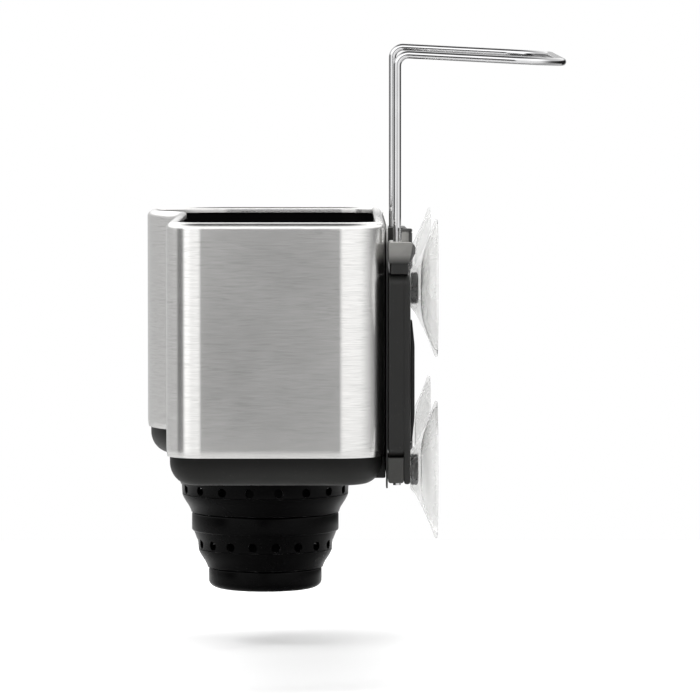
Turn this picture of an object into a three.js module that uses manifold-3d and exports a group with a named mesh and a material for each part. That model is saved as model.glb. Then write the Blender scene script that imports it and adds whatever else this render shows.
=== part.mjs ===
import * as THREE from 'three';
import { mergeVertices } from 'three/addons/utils/BufferGeometryUtils.js';
import Module from 'manifold-3d';

const wasm = await Module();
wasm.setup();

// Frame: X runs along the wall with the near end at +X, Y points into the wall, Z is up.
// The origin lies on the wall plane at the centre of the four suction cups. Lengths are in millimetres.

// Fits that the whole caddy shares
const clearance = 0.3;
const runningGap = 0.4;
const overrun = 2;

// Caddy body, seen from above
const bodyLength = 275;
const bodyGapToWall = 25.2;
const spongeBayDepth = 105.2;
const bulgeDepth = 16.8;
const frontCornerRadius = 17.5;
const rearCornerRadius = 22.5;
const bulgeFarRadius = 42;
const bulgeNearRadius = 46;
const bulgeFilletRadius = 20;
const bulgeNearShift = 3;
const cupAxisFromFarEnd = 54;

// Steel band
const bandHeight = 112.4;
const bandThickness = 1;
const rimRollRadius = 3.3;
const rimWidth = 4.9;
const rimLipRadius = 1.3;
const rimLipDrop = 3;

// Base tray
const baseDepth = 13.8;
const baseInset = 1.6;
const baseWall = 2;
const baseFilletWidth = 10;
const baseFilletHeight = 11;
const spigotHeight = 6.6;
const baseRailWidth = 9;
const baseRailRise = 2.6;

// Inner liner
const linerWall = 1.8;
const linerRunInGap = 0.6;
const linerTopTuck = 2.6;
const linerFootRadius = 4;
const drainSlotWidth = 5;
const drainSlotPitch = 14;
const drainSlotMargin = 14;
const drainSlotLength = 34;

// Divider between the bays
const dividerThickness = 2;
const dividerTopDrop = 14;
const dividerFromBulge = 4;
const dividerNotchDepth = 18;
const dividerNotchWidth = 46;
const dividerRibSize = 1.5;
const dividerRibTopDrop = 12;
const dividerNotchBendShare = 1 / 3;

// Brush cup, from the base down: three rings, two bands with holes, two thin webs
const ringRadii = [46.7, 38.3, 29.5];
const ringWall = 3.4;
const ringHeight = 9.6;
const ringEdge = 1;
const topRingExtraHeight = 2.3;
const bandTaperHeight = 5.1;
const bandTaper = 3.1;
const bandStraightHeight = 4.2;
const bandDraft = 0.3;
const bandWall = 2;
const bandHoleRadius = 2.4;
const bandHoleRise = 2.8;
const bandHoleCount = 18;
const webHeight = 9.4;
const webWall = 1.2;
const webShrink = 4.7;
const collarNeckRadius = 40.7;
const collarNeckBore = 37.7;
const collarFlangeRadius = 43.5;
const collarFlangeThickness = 2;
const bottomRingHeight = 6.7;
const bottomRoundHeight = 4.2;
const bottomRoundWidth = 6.6;
const bottomFloor = 3;

// Thin plate behind the band
const plateThickness = 0.8;
const plateEndMargin = 9;
const plateTopDrop = 1.5;
const plateFootDrop = 10.4;
const plateCorner = 8;
const plateTabWidth = 16;
const plateTabDrop = 5.5;

// Hanger loop
const wireRadius = 1.9;
const legFromBodyEnd = 28.5;
const legFromWall = 19.6;
const legTipDrop = 1.2;
const hangerRise = 80.2;
const hangerReach = 82.3;
const hangerDroop = 4.2;
const hangerFarRise = 4.6;
const hangerBendRadius = 5.5;
const hangerCornerRadius = 24;

// Bracket frame
const bracketGapToPlate = 0.3;
const bracketDepth = 7.3;
const bracketPostWidth = 34;
const bracketTopDrop = 25.2;
const upperBeamHeight = 23.6;
const lowerBeamHeight = 27.9;
const bracketCorner = 5;
const windowCorner = 6;
const legGuideRadius = 2.3;
const stopRingRadius = 2.8;
const stopRingHeight = 3;
const legTravel = 75;

// Wall-side cover of the bracket
const coverDepth = 2.9;
const coverFootDrop = 0.5;
const coverEdgeRound = 1.2;

// Guide caps and foot caps on the bracket posts
const guideCapHeight = 9.9;
const guideCapNeckHeight = 5.2;
const guideCapNeckInset = 1.4;
const guideCapWallProud = 2.4;
const guideCapChamfer = 2.2;
const footCapRise = 1;
const capEdgeRound = 1;
const bushRadius = 3.6;
const bushTopLand = 3;

// Lock button beside the near leg
const buttonRadius = 2.6;
const buttonProud = 6.4;
const buttonTravel = 2.5;
const buttonFromLeg = 6;
const buttonTowardWall = 4.6;
const buttonGuideLength = 5.4;
const buttonDome = 0.5;
const springWireRadius = 0.25;
const springRadius = 1.9;
const springTurns = 4;
const springHeight = 3.4;

// Suction cups
const cupFromLeg = 11;
const cupFromBracketTop = 7.6;
const cupFromFoot = 4.4;
const cupRadius = 33.3;
const cupLipWidth = 2.7;
const cupLipThickness = 1.2;
const cupBackRadius = 9.4;
const cupShoulderRadius = 12;
const cupShoulderDepth = 10.6;
const cupNeckRadius = 2.6;
const cupHeadRadius = 3.6;
const cupHeadThickness = 1.4;
const cupHeadPlay = 0.9;
const cupHollowDepth = 7.6;
const cupMidRadius = 23;
const cupMidDepth = 4.2;
const hubRadius = 7.6;
const hubThickness = 3.5;

// Rubber bumpers between the suction cups
const bumperFromCup = 15;
const bumperWidth = 12;
const bumperThickness = 1.8;
const bumperEndShare = 1 / 3;
const bumperSlopeShare = 1 / 5;

// Screws
const screwRadius = 1.4;
const screwEndWall = 1;
const coverScrewSpacing = 60;
const coverScrewLength = 6;
const coverScrewHeadRadius = 2.8;
const coverScrewHeadHeight = 1.3;
const bandScrewSpacing = 120;
const bandScrewHeadRadius = 3.8;
const bandScrewHeadHeight = 1.6;

// How finely round forms are divided
const cornerSteps = 4;
const bulgeSteps = 8;
const filletSteps = 4;
const rimSteps = 3;
const footSteps = 3;
const plateCornerSteps = 4;
const frameCornerSteps = 3;
const straightSteps = 1;
const cupSides = 36;
const suctionSides = 16;
const screwSides = 8;
const boreSides = 10;
const wireSides = 10;
const holeSides = 6;
const bendSteps = 5;
const loopCornerSteps = 6;
const springSides = 5;
const springStepsPerTurn = 8;

// Places that follow from the sizes above
const bodyNearX = bodyLength / 2;
const bodyFarX = -bodyLength / 2;
const bodyRearY = -bodyGapToWall;
const spongeFrontY = bodyRearY - spongeBayDepth;
const brushFrontY = spongeFrontY - bulgeDepth;
const cupAxisX = bodyFarX + cupAxisFromFarEnd;
const cupAxisY = (bodyRearY + brushFrontY) / 2;
const cupSpacingUp = bandHeight + baseDepth - bracketTopDrop - cupFromBracketTop
  - footCapRise - cupFromFoot;
const bracketTopZ = cupSpacingUp / 2 + cupFromBracketTop;
const bandTopZ = bracketTopZ + bracketTopDrop;
const bandBottomZ = bandTopZ - bandHeight;
const baseBottomZ = bandBottomZ - baseDepth;
const baseFloorZ = baseBottomZ + baseWall;
const spigotTopZ = bandBottomZ + spigotHeight;
const flangeTopZ = baseFloorZ + clearance + collarFlangeThickness;
const linerFloorZ = flangeTopZ + clearance;
const linerTopZ = bandTopZ - linerTopTuck;
const linerLowInset = baseInset + baseWall + linerRunInGap;
const linerHighInset = bandThickness + clearance;
const plateRearY = bodyRearY + clearance;
const plateWallY = plateRearY + plateThickness;
const bracketFrontY = plateWallY + bracketGapToPlate;
const bracketRearY = bracketFrontY + bracketDepth;
const coverFrontY = bracketRearY + clearance;
const coverRearY = coverFrontY + coverDepth;
const legX = bodyLength / 2 - legFromBodyEnd;
const legY = -legFromWall;
const legTipZ = baseBottomZ - legTipDrop;
const hangerTopZ = bandTopZ + hangerRise;
const bracketBottomZ = bandBottomZ - clearance;
const windowTopZ = bracketTopZ - upperBeamHeight;
const windowBottomZ = bracketBottomZ + lowerBeamHeight;
const footCapBottomZ = baseBottomZ + footCapRise;
const coverBottomZ = footCapBottomZ - coverFootDrop;
const cupSpacingAlong = (legX - cupFromLeg) * 2;
const capBottomZ = bracketTopZ + clearance;
const capShoulderZ = capBottomZ + guideCapNeckHeight;
const capTopZ = capShoulderZ + guideCapHeight;

// Joins, cuts and meshes

function toSolid(geometry) {
  const plain = geometry.index ? geometry.toNonIndexed() : geometry.clone();
  plain.deleteAttribute('normal');
  plain.deleteAttribute('uv');
  const merged = mergeVertices(plain);
  return new wasm.Manifold(new wasm.Mesh({
    numProp: 3,
    vertProperties: Float32Array.from(merged.attributes.position.array),
    triVerts: Uint32Array.from(merged.index.array),
  }));
}

function toGeometry(solid) {
  const mesh = solid.getMesh();
  const geometry = new THREE.BufferGeometry();
  const positions = new Float32Array(mesh.numVert * 3);
  for (let vertex = 0; vertex < mesh.numVert; vertex += 1) {
    for (let axis = 0; axis < 3; axis += 1) {
      positions[vertex * 3 + axis] = mesh.vertProperties[vertex * mesh.numProp + axis];
    }
  }
  geometry.setAttribute('position', new THREE.BufferAttribute(positions, 3));
  geometry.setIndex(Array.from(mesh.triVerts));
  geometry.computeVertexNormals();
  return geometry;
}

function cut(base, tools) {
  let solid = toSolid(base);
  for (const tool of tools) {
    solid = solid.subtract(toSolid(tool));
  }
  return toGeometry(solid);
}

function join(pieces) {
  let solid = toSolid(pieces[0]);
  for (const piece of pieces.slice(1)) {
    solid = solid.add(toSolid(piece));
  }
  return toGeometry(solid);
}

// Turns a mesh the right way out, by the sign of its volume
function facingOut(geometry) {
  const position = geometry.attributes.position;
  const index = geometry.index.array;
  const a = new THREE.Vector3();
  const b = new THREE.Vector3();
  const c = new THREE.Vector3();
  let volume = 0;
  for (let face = 0; face < index.length; face += 3) {
    a.fromBufferAttribute(position, index[face]);
    b.fromBufferAttribute(position, index[face + 1]);
    c.fromBufferAttribute(position, index[face + 2]);
    volume += a.dot(b.cross(c));
  }
  if (volume < 0) {
    for (let face = 0; face < index.length; face += 3) {
      const swap = index[face + 1];
      index[face + 1] = index[face + 2];
      index[face + 2] = swap;
    }
  }
  return geometry;
}

// A mesh from rings of points: neighbours are joined, the ends are capped or meet each other
function loftRings(rings, endsMeet, capShape) {
  const count = rings[0].length;
  const positions = [];
  const index = [];
  for (const ring of rings) {
    for (const point of ring) {
      positions.push(point.x, point.y, point.z);
    }
  }
  const last = endsMeet ? rings.length : rings.length - 1;
  for (let ring = 0; ring < last; ring += 1) {
    const here = ring * count;
    const there = ((ring + 1) % rings.length) * count;
    for (let step = 0; step < count; step += 1) {
      const next = (step + 1) % count;
      index.push(here + step, here + next, there + next);
      index.push(here + step, there + next, there + step);
    }
  }
  if (!endsMeet) {
    const top = (rings.length - 1) * count;
    for (const [a, b, c] of THREE.ShapeUtils.triangulateShape(capShape, [])) {
      index.push(a, c, b);
      index.push(top + a, top + b, top + c);
    }
  }
  const geometry = new THREE.BufferGeometry();
  geometry.setAttribute('position', new THREE.Float32BufferAttribute(positions, 3));
  geometry.setIndex(index);
  return facingOut(geometry);
}

// The body's outline from above, counter-clockwise, with the outward direction at each point.
// The brush bay's bulge ends in a hollow fillet that runs out into the sponge bay's front.

function arcPoints(centreX, centreY, radius, fromAngle, toAngle, steps, hollow) {
  const points = [];
  for (let step = 0; step <= steps; step += 1) {
    const angle = fromAngle + ((toAngle - fromAngle) * step) / steps;
    const sign = hollow ? -1 : 1;
    points.push({
      x: centreX + radius * Math.cos(angle),
      y: centreY + radius * Math.sin(angle),
      outX: sign * Math.cos(angle),
      outY: sign * Math.sin(angle),
    });
  }
  return points;
}

function bulgeGeometry() {
  const arcX = cupAxisX + bulgeNearShift;
  const arcY = brushFrontY + bulgeNearRadius;
  const filletY = spongeFrontY - bulgeFilletRadius;
  const reach = bulgeNearRadius + bulgeFilletRadius;
  const rise = arcY - filletY;
  const run = Math.sqrt(reach * reach - rise * rise);
  return { arcX, arcY, filletX: arcX + run, filletY, turn: Math.atan2(run, rise) };
}

function bodyOutline() {
  const quarter = Math.PI / 2;
  const bulge = bulgeGeometry();
  return [
    ...arcPoints(bodyNearX - rearCornerRadius, bodyRearY - rearCornerRadius, rearCornerRadius,
      0, quarter, cornerSteps, false),
    ...arcPoints(bodyFarX + rearCornerRadius, bodyRearY - rearCornerRadius, rearCornerRadius,
      quarter, 2 * quarter, cornerSteps, false),
    ...arcPoints(bodyFarX + bulgeFarRadius, brushFrontY + bulgeFarRadius, bulgeFarRadius,
      2 * quarter, 3 * quarter, bulgeSteps, false),
    ...arcPoints(bulge.arcX, bulge.arcY, bulgeNearRadius,
      3 * quarter, 3 * quarter + bulge.turn, filletSteps, false),
    ...arcPoints(bulge.filletX, bulge.filletY, bulgeFilletRadius,
      quarter + bulge.turn, quarter, filletSteps, true).slice(1),
    ...arcPoints(bodyNearX - frontCornerRadius, spongeFrontY + frontCornerRadius,
      frontCornerRadius, 3 * quarter, 4 * quarter, cornerSteps, false),
  ];
}

const outline = bodyOutline();

function outlineRing(inset, height) {
  return outline.map((point) => new THREE.Vector3(
    point.x - point.outX * inset,
    point.y - point.outY * inset,
    height,
  ));
}

// A closed wall section carried round the outline
function sweepRound(profile) {
  return loftRings(profile.map(([inset, height]) => outlineRing(inset, height)), true, null);
}

// A filled solid through outlines of given inset and height, from the bottom up
function fillRound(profile) {
  const rings = profile.map(([inset, height]) => outlineRing(inset, height));
  const flat = rings[0].map((point) => new THREE.Vector2(point.x, point.y));
  return loftRings(rings, false, flat);
}

// Points of a quarter round in a wall section, from its level end to its upright end
function roundedFoot(inset, bottom, width, height) {
  const points = [];
  for (let step = 0; step <= footSteps; step += 1) {
    const angle = (Math.PI / 2) * (step / footSteps);
    points.push([
      inset + width * (1 - Math.sin(angle)),
      bottom + height * (1 - Math.cos(angle)),
    ]);
  }
  return points;
}

// Plain forms, placed by their own sizes

function cylinderAlongZ(radius, bottom, top, x, y, sides) {
  const geometry = new THREE.CylinderGeometry(radius, radius, top - bottom, sides);
  geometry.rotateX(Math.PI / 2);
  geometry.translate(x, y, (top + bottom) / 2);
  return geometry;
}

function cylinderAlongY(radius, front, rear, x, z, sides) {
  const geometry = new THREE.CylinderGeometry(radius, radius, rear - front, sides);
  geometry.translate(x, (front + rear) / 2, z);
  return geometry;
}

function boxBetween(low, high) {
  const geometry = new THREE.BoxGeometry(high[0] - low[0], high[1] - low[1], high[2] - low[2]);
  geometry.translate((low[0] + high[0]) / 2, (low[1] + high[1]) / 2, (low[2] + high[2]) / 2);
  return geometry;
}

// A lathe turns its profile of [radius, height] about Y; upright pieces are then stood on Z
function turnedUpright(profile, sides) {
  const geometry = new THREE.LatheGeometry(
    profile.map(([radius, height]) => new THREE.Vector2(radius, height)), sides);
  geometry.rotateX(Math.PI / 2);
  return facingOut(mergeVertices(withoutSeams(geometry)));
}

function turnedAlongY(profile, sides) {
  const geometry = new THREE.LatheGeometry(
    profile.map(([radius, height]) => new THREE.Vector2(radius, height)), sides);
  return facingOut(mergeVertices(withoutSeams(geometry)));
}

function withoutSeams(geometry) {
  geometry.deleteAttribute('normal');
  geometry.deleteAttribute('uv');
  return geometry;
}

function roundedRectangle(halfWidth, bottom, top, radius) {
  const shape = new THREE.Shape();
  shape.moveTo(-halfWidth + radius, bottom);
  shape.lineTo(halfWidth - radius, bottom);
  shape.absarc(halfWidth - radius, bottom + radius, radius, -Math.PI / 2, 0, false);
  shape.lineTo(halfWidth, top - radius);
  shape.absarc(halfWidth - radius, top - radius, radius, 0, Math.PI / 2, false);
  shape.lineTo(-halfWidth + radius, top);
  shape.absarc(-halfWidth + radius, top - radius, radius, Math.PI / 2, Math.PI, false);
  shape.lineTo(-halfWidth, bottom + radius);
  shape.absarc(-halfWidth + radius, bottom + radius, radius, Math.PI, Math.PI * 1.5, false);
  return shape;
}

// A shape drawn in X and Z, given its thickness from front to rear
function plateAlongY(shape, front, rear, curveSteps) {
  const geometry = new THREE.ExtrudeGeometry(shape, {
    depth: rear - front, bevelEnabled: false, curveSegments: curveSteps,
  });
  geometry.rotateX(Math.PI / 2);
  geometry.translate(0, rear, 0);
  return geometry;
}

// A shape drawn in Y and Z, given its length along X about a centre
function barAlongX(shape, centreX, length, curveSteps) {
  const geometry = new THREE.ExtrudeGeometry(shape, {
    depth: length, bevelEnabled: false, curveSegments: curveSteps,
  });
  geometry.rotateX(Math.PI / 2);
  geometry.rotateZ(Math.PI / 2);
  geometry.translate(centreX - length / 2, 0, 0);
  return geometry;
}

function polygonShape(points) {
  return new THREE.Shape(points.map(([x, y]) => new THREE.Vector2(x, y)));
}

// Steel band with its rolled rim

function steelBand() {
  const top = bandTopZ;
  const profile = [[0, bandBottomZ]];
  for (let step = 0; step <= rimSteps; step += 1) {
    const angle = (Math.PI / 2) * (step / rimSteps);
    profile.push([
      rimRollRadius * (1 - Math.cos(angle)),
      top - rimRollRadius * (1 - Math.sin(angle)),
    ]);
  }
  profile.push([rimWidth - rimLipRadius, top]);
  profile.push([rimWidth - rimLipRadius * (1 - Math.SQRT1_2), top - rimLipRadius * (1 - Math.SQRT1_2)]);
  profile.push([rimWidth, top - rimLipRadius]);
  profile.push([rimWidth, top - rimLipDrop]);
  profile.push([rimWidth - bandThickness, top - rimLipDrop]);
  profile.push([rimWidth - bandThickness, top - rimLipRadius]);
  const innerRoll = rimRollRadius - bandThickness;
  for (let step = rimSteps; step >= 0; step -= 1) {
    const angle = (Math.PI / 2) * (step / rimSteps);
    profile.push([
      rimRollRadius - innerRoll * Math.cos(angle),
      top - rimRollRadius + innerRoll * Math.sin(angle),
    ]);
  }
  profile.push([bandThickness, bandBottomZ]);
  return cut(sweepRound(profile), screwPlaces(bandScrewSpacing).map(([x, z]) => cylinderAlongY(
    screwRadius + clearance, bodyRearY - bandThickness - overrun / 2, bodyRearY + overrun,
    x, z, boreSides)));
}

// Base tray: a shallow tray with a rounded lower edge, squared along the rear by a rail,
// with a spigot into the band and drain slots

function baseTray() {
  const outside = [
    ...roundedFoot(baseInset, baseBottomZ, baseFilletWidth, baseFilletHeight),
    [baseInset, bandBottomZ - clearance],
    [linerHighInset, bandBottomZ - clearance],
    [linerHighInset, spigotTopZ],
  ];
  const inside = [
    ...roundedFoot(baseInset + baseWall, baseFloorZ, baseFilletWidth - baseWall,
      baseFilletHeight - baseWall),
    [baseInset + baseWall, spigotTopZ + overrun],
  ];
  const cupOpening = cylinderAlongZ(collarNeckRadius + clearance, baseBottomZ - overrun,
    baseFloorZ + overrun, cupAxisX, cupAxisY, cupSides);
  const railEndX = bodyNearX - rearCornerRadius;
  const rail = boxBetween(
    [-railEndX, bodyRearY - baseRailWidth, baseBottomZ + baseRailRise],
    [railEndX, bodyRearY, bandBottomZ - clearance]);
  return cut(join([fillRound(outside), rail]), [fillRound(inside), cupOpening,
    ...drainSlots(baseBottomZ - overrun, baseFloorZ + overrun, drainSlotPitch * 2)]);
}

// Slots across the sponge bay's floor, in two rows
function drainSlots(bottom, top, pitch) {
  const slots = [];
  const firstX = dividerX() + drainSlotMargin;
  const lastX = bodyNearX - frontCornerRadius - drainSlotMargin / 2;
  const middleY = (bodyRearY + spongeFrontY) / 2;
  const count = Math.floor((lastX - firstX) / pitch);
  for (let column = 0; column <= count; column += 1) {
    const x = firstX + column * pitch;
    for (const side of [-1, 1]) {
      const y = middleY + side * (drainSlotLength / 2 + drainSlotWidth);
      slots.push(boxBetween(
        [x - drainSlotWidth / 2, y - drainSlotLength / 2, bottom],
        [x + drainSlotWidth / 2, y + drainSlotLength / 2, top]));
    }
  }
  return slots;
}

function dividerX() {
  return bulgeGeometry().filletX + dividerFromBulge;
}

// Inner liner: walls, floor with slots and a round way into the brush cup, ribs that hold the divider

function innerLiner() {
  const ledgeZ = spigotTopZ + clearance;
  const footWidth = baseInset + baseFilletWidth - linerLowInset;
  const footHeight = baseBottomZ + baseFilletHeight - linerFloorZ;
  const outside = [
    ...roundedFoot(linerLowInset, linerFloorZ, footWidth, footHeight),
    [linerLowInset, ledgeZ],
    [linerHighInset, ledgeZ],
    [linerHighInset, linerTopZ],
  ];
  const inside = [
    ...roundedFoot(linerLowInset + linerWall, linerFloorZ + linerWall, footWidth - linerWall,
      footHeight - linerWall),
    [linerLowInset + linerWall, ledgeZ + linerWall],
    [linerHighInset + linerWall, ledgeZ + linerWall],
    [linerHighInset + linerWall, linerTopZ + overrun],
  ];
  const shell = cut(fillRound(outside), [fillRound(inside)]);
  const solid = join([shell, ...linerFeet(), ...dividerRibs()]);
  const brushWay = cylinderAlongZ(collarNeckBore, linerFloorZ - overrun,
    linerFloorZ + linerWall + overrun, cupAxisX, cupAxisY, cupSides);
  const headHoles = screwPlaces(bandScrewSpacing).map(([x, z]) => cylinderAlongY(
    bandScrewHeadRadius + clearance, bodyRearY - linerHighInset - linerWall - overrun,
    bodyRearY - bandThickness, x, z, boreSides));
  return cut(solid, [brushWay, ...headHoles,
    ...drainSlots(linerFloorZ - overrun, linerFloorZ + linerWall + overrun, drainSlotPitch)]);
}

// Feet that hold the liner's floor off the tray, between the slots and the walls
function linerFeet() {
  const middleY = (bodyRearY + spongeFrontY) / 2;
  const footX = dividerX() + drainSlotMargin - drainSlotPitch / 2;
  const farFootX = bodyNearX - frontCornerRadius;
  const feet = [];
  for (const x of [footX - linerFootRadius / 2, farFootX]) {
    for (const side of [-1, 1]) {
      feet.push(cylinderAlongZ(linerFootRadius, baseFloorZ + clearance, linerFloorZ + linerWall / 2,
        x, middleY + side * drainSlotLength / 2, boreSides));
    }
  }
  return feet;
}

function dividerRibs() {
  const ribs = [];
  const innerInset = linerHighInset + linerWall;
  const bottom = spigotTopZ + clearance + linerWall;
  const walls = [
    [bodyRearY - innerInset - dividerRibSize, bodyRearY - innerInset + linerWall / 2],
    [spongeFrontY + innerInset - linerWall / 2, spongeFrontY + innerInset + dividerRibSize],
  ];
  for (const [low, high] of walls) {
    for (const side of [-1, 1]) {
      const near = dividerX() + side * (dividerThickness / 2 + clearance);
      const away = near + side * dividerRibSize;
      ribs.push(boxBetween(
        [Math.min(near, away), low, bottom - linerWall / 2],
        [Math.max(near, away), high, bandTopZ - dividerTopDrop - dividerRibTopDrop]));
    }
  }
  return ribs;
}

// Divider: a plate between the ribs, narrower where it stands in the tray, with a notch for a hand
function bayDivider() {
  const lowInset = linerLowInset + linerWall + clearance;
  const highInset = linerHighInset + linerWall + clearance;
  const floor = linerFloorZ + linerWall + clearance;
  const ledge = spigotTopZ + clearance + linerWall + clearance;
  const top = bandTopZ - dividerTopDrop;
  const foot = baseFilletWidth + baseInset;
  const middleY = (bodyRearY + spongeFrontY) / 2;
  const bend = dividerNotchDepth * dividerNotchBendShare;
  const shape = polygonShape([
    [bodyRearY - foot, floor],
    [bodyRearY - lowInset, floor + foot / 2],
    [bodyRearY - lowInset, ledge],
    [bodyRearY - highInset, ledge],
    [bodyRearY - highInset, top],
    [middleY + dividerNotchWidth / 2 + bend, top],
    [middleY + dividerNotchWidth / 2, top - bend],
    [middleY + dividerNotchWidth / 2 - bend, top - dividerNotchDepth],
    [middleY - dividerNotchWidth / 2 + bend, top - dividerNotchDepth],
    [middleY - dividerNotchWidth / 2, top - bend],
    [middleY - dividerNotchWidth / 2 - bend, top],
    [spongeFrontY + highInset, top],
    [spongeFrontY + highInset, ledge],
    [spongeFrontY + lowInset, ledge],
    [spongeFrontY + lowInset, floor + foot / 2],
    [spongeFrontY + foot, floor],
  ]);
  return barAlongX(shape, dividerX(), dividerThickness, straightSteps);
}

// Brush cup. Each stage is a thick ring, a band that draws in and carries holes, and a thin web.

const topRingZ = baseBottomZ - clearance;
const topRingBottomZ = topRingZ - ringHeight - topRingExtraHeight;
const topBandBottomZ = topRingBottomZ - bandTaperHeight - bandStraightHeight;
const upperWebTopZ = topBandBottomZ - clearance;
const middleRingZ = upperWebTopZ - webHeight - clearance;
const middleRingBottomZ = middleRingZ - ringHeight;
const middleBandBottomZ = middleRingBottomZ - bandTaperHeight - bandStraightHeight;
const lowerWebTopZ = middleBandBottomZ - clearance;
const bottomRingZ = lowerWebTopZ - webHeight - clearance;
const bottomRingBottomZ = bottomRingZ - bottomRingHeight;
const cupBottomZ = bottomRingBottomZ - bottomRoundHeight;

function bandRadius(stage) {
  return ringRadii[stage] - bandTaper;
}

// The outside of a ring and its band, from the top down
function stageOutside(stage, top, ringBottom, bandBottom) {
  const radius = ringRadii[stage];
  return [
    [radius - ringEdge, top],
    [radius, top - ringEdge],
    [radius, ringBottom + ringEdge],
    [radius - ringEdge, ringBottom],
    [bandRadius(stage), bandBottom + bandStraightHeight],
    [bandRadius(stage) - bandDraft, bandBottom],
  ];
}

// The inside of a ring and its band, from the bottom up to the ring
function stageInside(stage, ringBottom, bandBottom) {
  return [
    [bandRadius(stage) - bandDraft - bandWall, bandBottom],
    [bandRadius(stage) - bandWall, bandBottom + bandStraightHeight],
    [ringRadii[stage] - ringWall, ringBottom],
  ];
}

function holesRound(stage, bandBottom) {
  const holes = [];
  const reach = ringRadii[stage] + overrun;
  for (let hole = 0; hole < bandHoleCount / 2; hole += 1) {
    const bore = new THREE.CylinderGeometry(bandHoleRadius, bandHoleRadius, reach * 2, holeSides);
    bore.rotateZ(Math.PI / 2);
    bore.rotateZ((Math.PI * 2 * hole) / bandHoleCount + Math.PI / cupSides);
    bore.translate(0, 0, bandBottom + bandHoleRise);
    holes.push(bore);
  }
  return holes;
}

function brushCollar() {
  const profile = [
    [collarNeckBore, flangeTopZ],
    [collarFlangeRadius, flangeTopZ],
    [collarFlangeRadius, flangeTopZ - collarFlangeThickness],
    [collarNeckRadius, flangeTopZ - collarFlangeThickness],
    [collarNeckRadius, topRingZ],
    ...stageOutside(0, topRingZ, topRingBottomZ, topBandBottomZ),
    ...stageInside(0, topRingBottomZ, topBandBottomZ),
    [ringRadii[0] - ringWall, topRingZ - ringWall],
    [collarNeckBore, topRingZ - ringEdge],
    [collarNeckBore, flangeTopZ],
  ];
  return cut(turnedUpright(profile, cupSides), holesRound(0, topBandBottomZ));
}

function thinWeb(radius, top) {
  return turnedUpright([
    [radius, top],
    [radius - webShrink, top - webHeight],
    [radius - webShrink - webWall, top - webHeight],
    [radius - webWall, top],
    [radius, top],
  ], cupSides);
}

function brushRing() {
  const profile = [
    ...stageOutside(1, middleRingZ, middleRingBottomZ, middleBandBottomZ),
    ...stageInside(1, middleRingBottomZ, middleBandBottomZ),
    [ringRadii[1] - ringWall, middleRingZ],
    [ringRadii[1] - ringEdge, middleRingZ],
  ];
  return cut(turnedUpright(profile, cupSides), holesRound(1, middleBandBottomZ));
}

function brushBottom() {
  const radius = ringRadii[2];
  const profile = [[radius - ringEdge, bottomRingZ], [radius, bottomRingZ - ringEdge]];
  for (let step = 0; step <= footSteps; step += 1) {
    const angle = (Math.PI / 2) * (step / footSteps);
    profile.push([
      radius - bottomRoundWidth * (1 - Math.cos(angle)),
      bottomRingBottomZ - bottomRoundHeight * Math.sin(angle),
    ]);
  }
  profile.push([0, cupBottomZ]);
  profile.push([0, cupBottomZ + bottomFloor]);
  profile.push([radius - bottomRoundWidth - ringEdge, cupBottomZ + bottomFloor]);
  profile.push([radius - ringWall, bottomRingBottomZ + ringEdge]);
  profile.push([radius - ringWall, bottomRingZ]);
  profile.push([radius - ringEdge, bottomRingZ]);
  return turnedUpright(profile, cupSides);
}

// Places of the screws on the two beams of the bracket
function screwPlaces(spacing) {
  const places = [];
  const upperBeamZ = bracketTopZ - upperBeamHeight / 2;
  const lowerBeamZ = bracketBottomZ + lowerBeamHeight / 2;
  for (const z of [upperBeamZ, lowerBeamZ]) {
    for (const side of [1, -1]) {
      places.push([side * spacing / 2, z]);
    }
  }
  return places;
}

// Places of the suction cups: near upper, far upper, near lower, far lower
function cupPlaces() {
  const places = [];
  for (const up of [1, -1]) {
    for (const side of [1, -1]) {
      places.push([side * cupSpacingAlong / 2, up * cupSpacingUp / 2]);
    }
  }
  return places;
}

// Thin plate behind the band, with two tabs that show below the bracket

function backPlate() {
  const top = bandTopZ - plateTopDrop;
  const bottom = bandBottomZ - plateFootDrop;
  const body = plateAlongY(roundedRectangle(legX + plateEndMargin, bottom, top, plateCorner),
    plateRearY, plateWallY, plateCornerSteps);
  const tabs = [1, -1].map((side) => boxBetween(
    [side * legX - plateTabWidth / 2, plateRearY, bottom - plateTabDrop],
    [side * legX + plateTabWidth / 2, plateWallY, bottom + plateCorner]));
  const holes = screwPlaces(bandScrewSpacing).map(([x, z]) => cylinderAlongY(
    screwRadius + clearance, plateRearY - overrun, plateWallY + overrun, x, z, boreSides));
  return cut(join([body, ...tabs]), holes);
}

// Bracket frame: two posts and two beams round a window, with leg channels and screw bores

function frameShape(bottom) {
  const shape = roundedRectangle(legX + bracketPostWidth / 2, bottom, bracketTopZ, bracketCorner);
  const window = roundedRectangle(legX - bracketPostWidth / 2 - windowCorner, windowBottomZ,
    windowTopZ, windowCorner);
  shape.holes.push(window);
  return shape;
}

// Channel that a stop ring slides in, round toward the band and open toward the cover
function ringChannel(x, bottom, top) {
  const radius = stopRingRadius + clearance;
  const shape = new THREE.Shape();
  shape.moveTo(x + radius, bracketRearY + overrun);
  shape.lineTo(x - radius, bracketRearY + overrun);
  shape.lineTo(x - radius, legY);
  shape.absarc(x, legY, radius, Math.PI, 2 * Math.PI, false);
  const channel = new THREE.ExtrudeGeometry(shape, {
    depth: top - bottom, bevelEnabled: false, curveSegments: boreSides / 2,
  });
  channel.translate(0, 0, bottom);
  return channel;
}

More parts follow.
